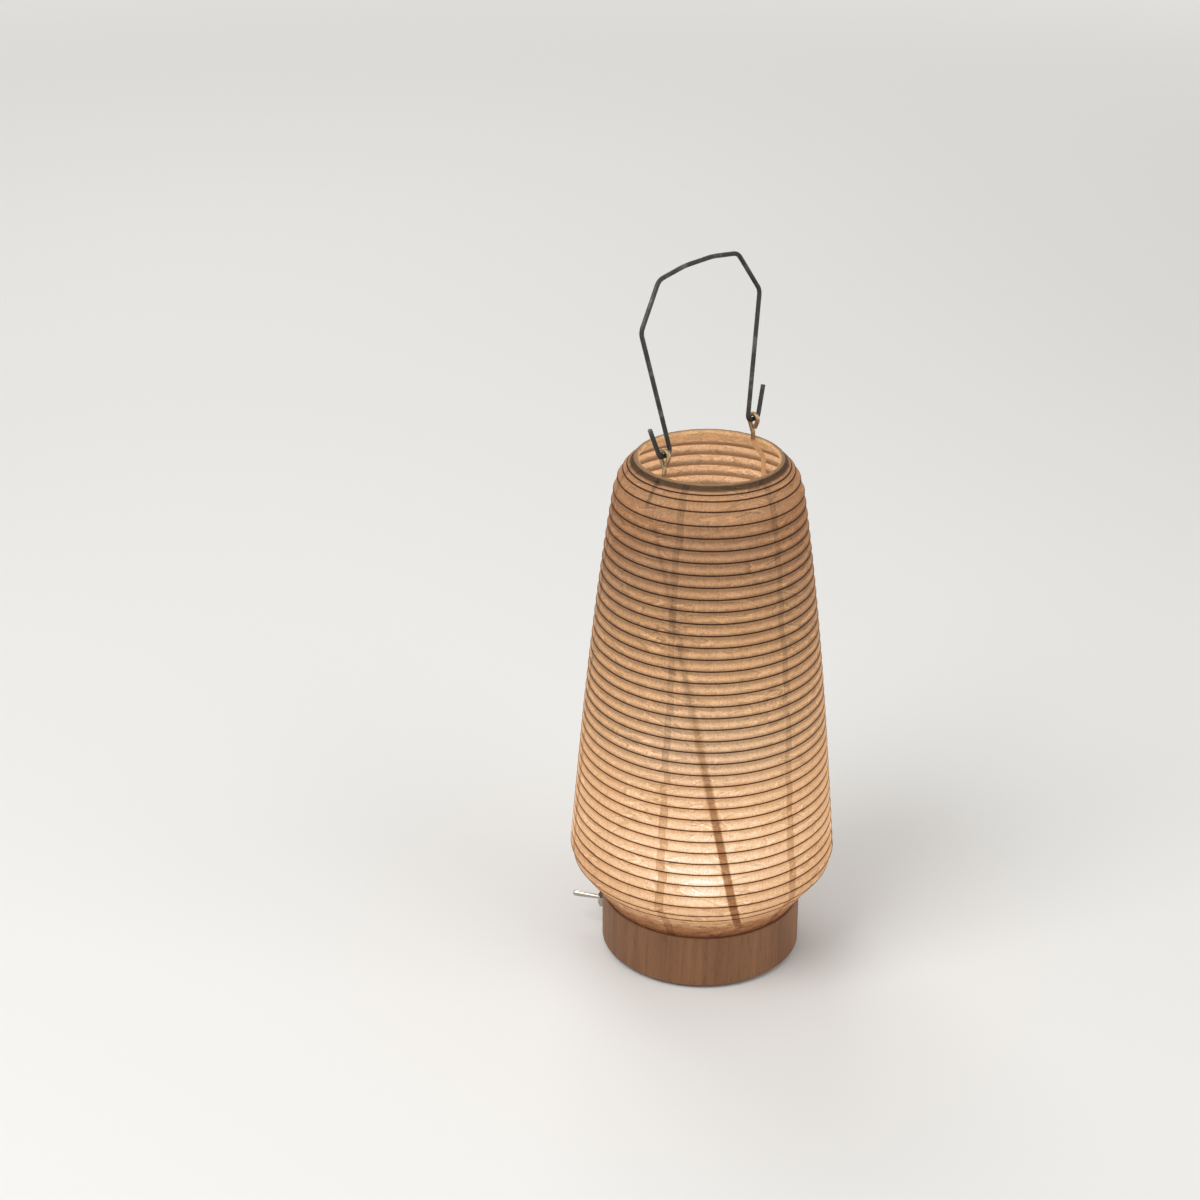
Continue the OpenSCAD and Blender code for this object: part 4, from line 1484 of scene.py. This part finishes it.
@dataclass
class Light(Dressed):
    """Board, chip, dome and sockets on the deck, and the cells under it."""

    finishes: Finishes = (
        (PlainFinish("white_board", (0.72, 0.71, 0.66), 0.35), "led_board"),
        (PlainFinish("led_phosphor", (0.8, 0.7, 0.25), 0.4, own_light=(1.0, 0.72, 0.42),
                     light_strength=1.0), "led_chip"),
        (PlainFinish("frosted_dome", (0.5, 0.45, 0.38), own_light=(1.0, 0.80, 0.55),
                     light_strength=0.55), "led_dome"),
        (PlainFinish("turned_brass", (0.60, 0.42, 0.16), 0.28, 1.0, 600.0, 0.01 * MM),
         "upright_sockets"),
        (PlainFinish("resistor_lacquer", (0.42, 0.30, 0.15), 0.4), "resistor"),
        (PlainFinish("cell_can", (0.08, 0.16, 0.11), 0.35, 0.6), "battery_cells"),
    )


class Softbox(NamedTuple):
    """A soft area light: direction round the axis in degrees, height, distance, side and watts."""

    name: str
    turn: float
    high: float
    away: float
    size: float
    power: float


@dataclass
class Studio:
    """Camera at the photograph's angle, a pale floor and plain soft light."""

    lens: float = 73.05
    sensor: float = 36.0
    clip: Pair = (0.01, 100.0)
    pitch: float = math.radians(25.4)
    yaw: float = math.radians(2.77)
    away: float = 0.976
    high: float = 0.638
    turn: float = math.radians(-140)
    floor: Colour = (0.74, 0.735, 0.72)
    floor_size: float = 30.0
    sky: Colour = (0.78, 0.775, 0.76)
    ambient: float = 0.62
    far: Pair = (0.7, 3.2)
    far_light: float = 0.62
    rough: float = 0.9
    shine: float = 0.1
    aim: Triple = (0.0, 0.0, 0.13)
    lamps: tuple[Softbox, ...] = (
        Softbox("key", -185.0, 1.25, 1.0, 0.9, 14.0),
        Softbox("fill", -80.0, 0.9, 1.3, 1.2, 7.0),
        Softbox("back", 60.0, 1.3, 1.2, 1.0, 8.0),
    )

    @staticmethod
    def _place(turn: float, away: float, high: float) -> Vector:
        """A place so far from the axis, in this direction round it and at this height."""
        return Vector((math.cos(turn) * away, math.sin(turn) * away, high))

    @staticmethod
    def _stand(data: bpy.types.ID, place: Vector, look: Vector) -> bpy.types.Object:
        """Puts a camera or a light in the scene.

        Args:
            data: the camera or the light.
            place: where it stands.
            look: the way that it points.

        Returns:
            The new object.
        """
        made = bpy.data.objects.new(data.name, data)
        bpy.context.scene.collection.objects.link(made)
        turned = look.to_track_quat("-Z", "Y").to_matrix().to_4x4()
        made.matrix_world = Matrix.Translation(place) @ turned
        return made

    def camera(self) -> None:
        """Sets the camera."""
        data = bpy.data.cameras.new("camera")
        data.lens = self.lens
        data.sensor_width = self.sensor
        data.sensor_fit = "HORIZONTAL"
        data.clip_start, data.clip_end = self.clip
        place = self._place(self.turn, self.away, self.high)
        look = self._place(self.turn + math.pi + self.yaw, math.cos(self.pitch),
                           -math.sin(self.pitch))
        bpy.context.scene.camera = self._stand(data, place, look)

    def ground(self) -> None:
        """Makes the floor, whose far part is as pale to the camera as the world behind it."""
        bm = bmesh.new()
        bmesh.ops.create_grid(bm, x_segments=1, y_segments=1, size=self.floor_size / 2)
        m = Maker.material("floor")
        x, y, _ = m.xyz
        far = ((x * x + y * y) ** 0.5).step(*self.far)
        own = m.shade(self.floor, far * m.seen() * self.far_light)
        surface = m.surface(Base_Color=self.floor, Roughness=self.rough,
                            Specular_IOR_Level=self.shine, Emission_Color=own)
        settle("floor", bm, (surface,), False)

    def world(self) -> None:
        """Makes the plain world, which is pale where it is seen and dimmer as a light."""
        world = bpy.data.worlds.new("studio")
        m = Maker(world)
        light = m.node("ShaderNodeBackground", None, {"Color": opaque(self.sky),
                                                      "Strength": m.seen().most(self.ambient)})
        m.node("ShaderNodeOutputWorld", None, {"Surface": light.outputs[0]})
        bpy.context.scene.world = world

    def lamp(self, box: Softbox) -> None:
        """Adds one soft area light that points at the lamp.

        Args:
            box: the light.
        """
        data = bpy.data.lights.new(box.name, "AREA")
        data.shape = "SQUARE"
        data.size = box.size
        data.energy = box.power
        place = self._place(math.radians(box.turn), box.away, box.high)
        self._stand(data, place, Vector(self.aim) - place)

    def build(self) -> None:
        """Sets up camera, floor and light."""
        bpy.context.scene.view_settings.view_transform = "Standard"
        self.camera()
        self.ground()
        self.world()
        for box in self.lamps:
            self.lamp(box)


def main() -> None:
    """Builds the lamp's looks and reports each piece."""
    logging.basicConfig(level=logging.INFO, format="%(message)s")
    Studio().build()
    outline = Outline(Ring.of("mouth_ring"), Ring.of("bottom_ring"))
    for part in (Shade(outline), Wires(), Base(), Switch(), Light()):
        made: list[bpy.types.Object] = part.build() or []
        names = ", ".join(piece.name for piece in made) or "finishes only"
        LOG.info("%s: %s", type(part).__name__, names)


if __name__ == "__main__":
    main()
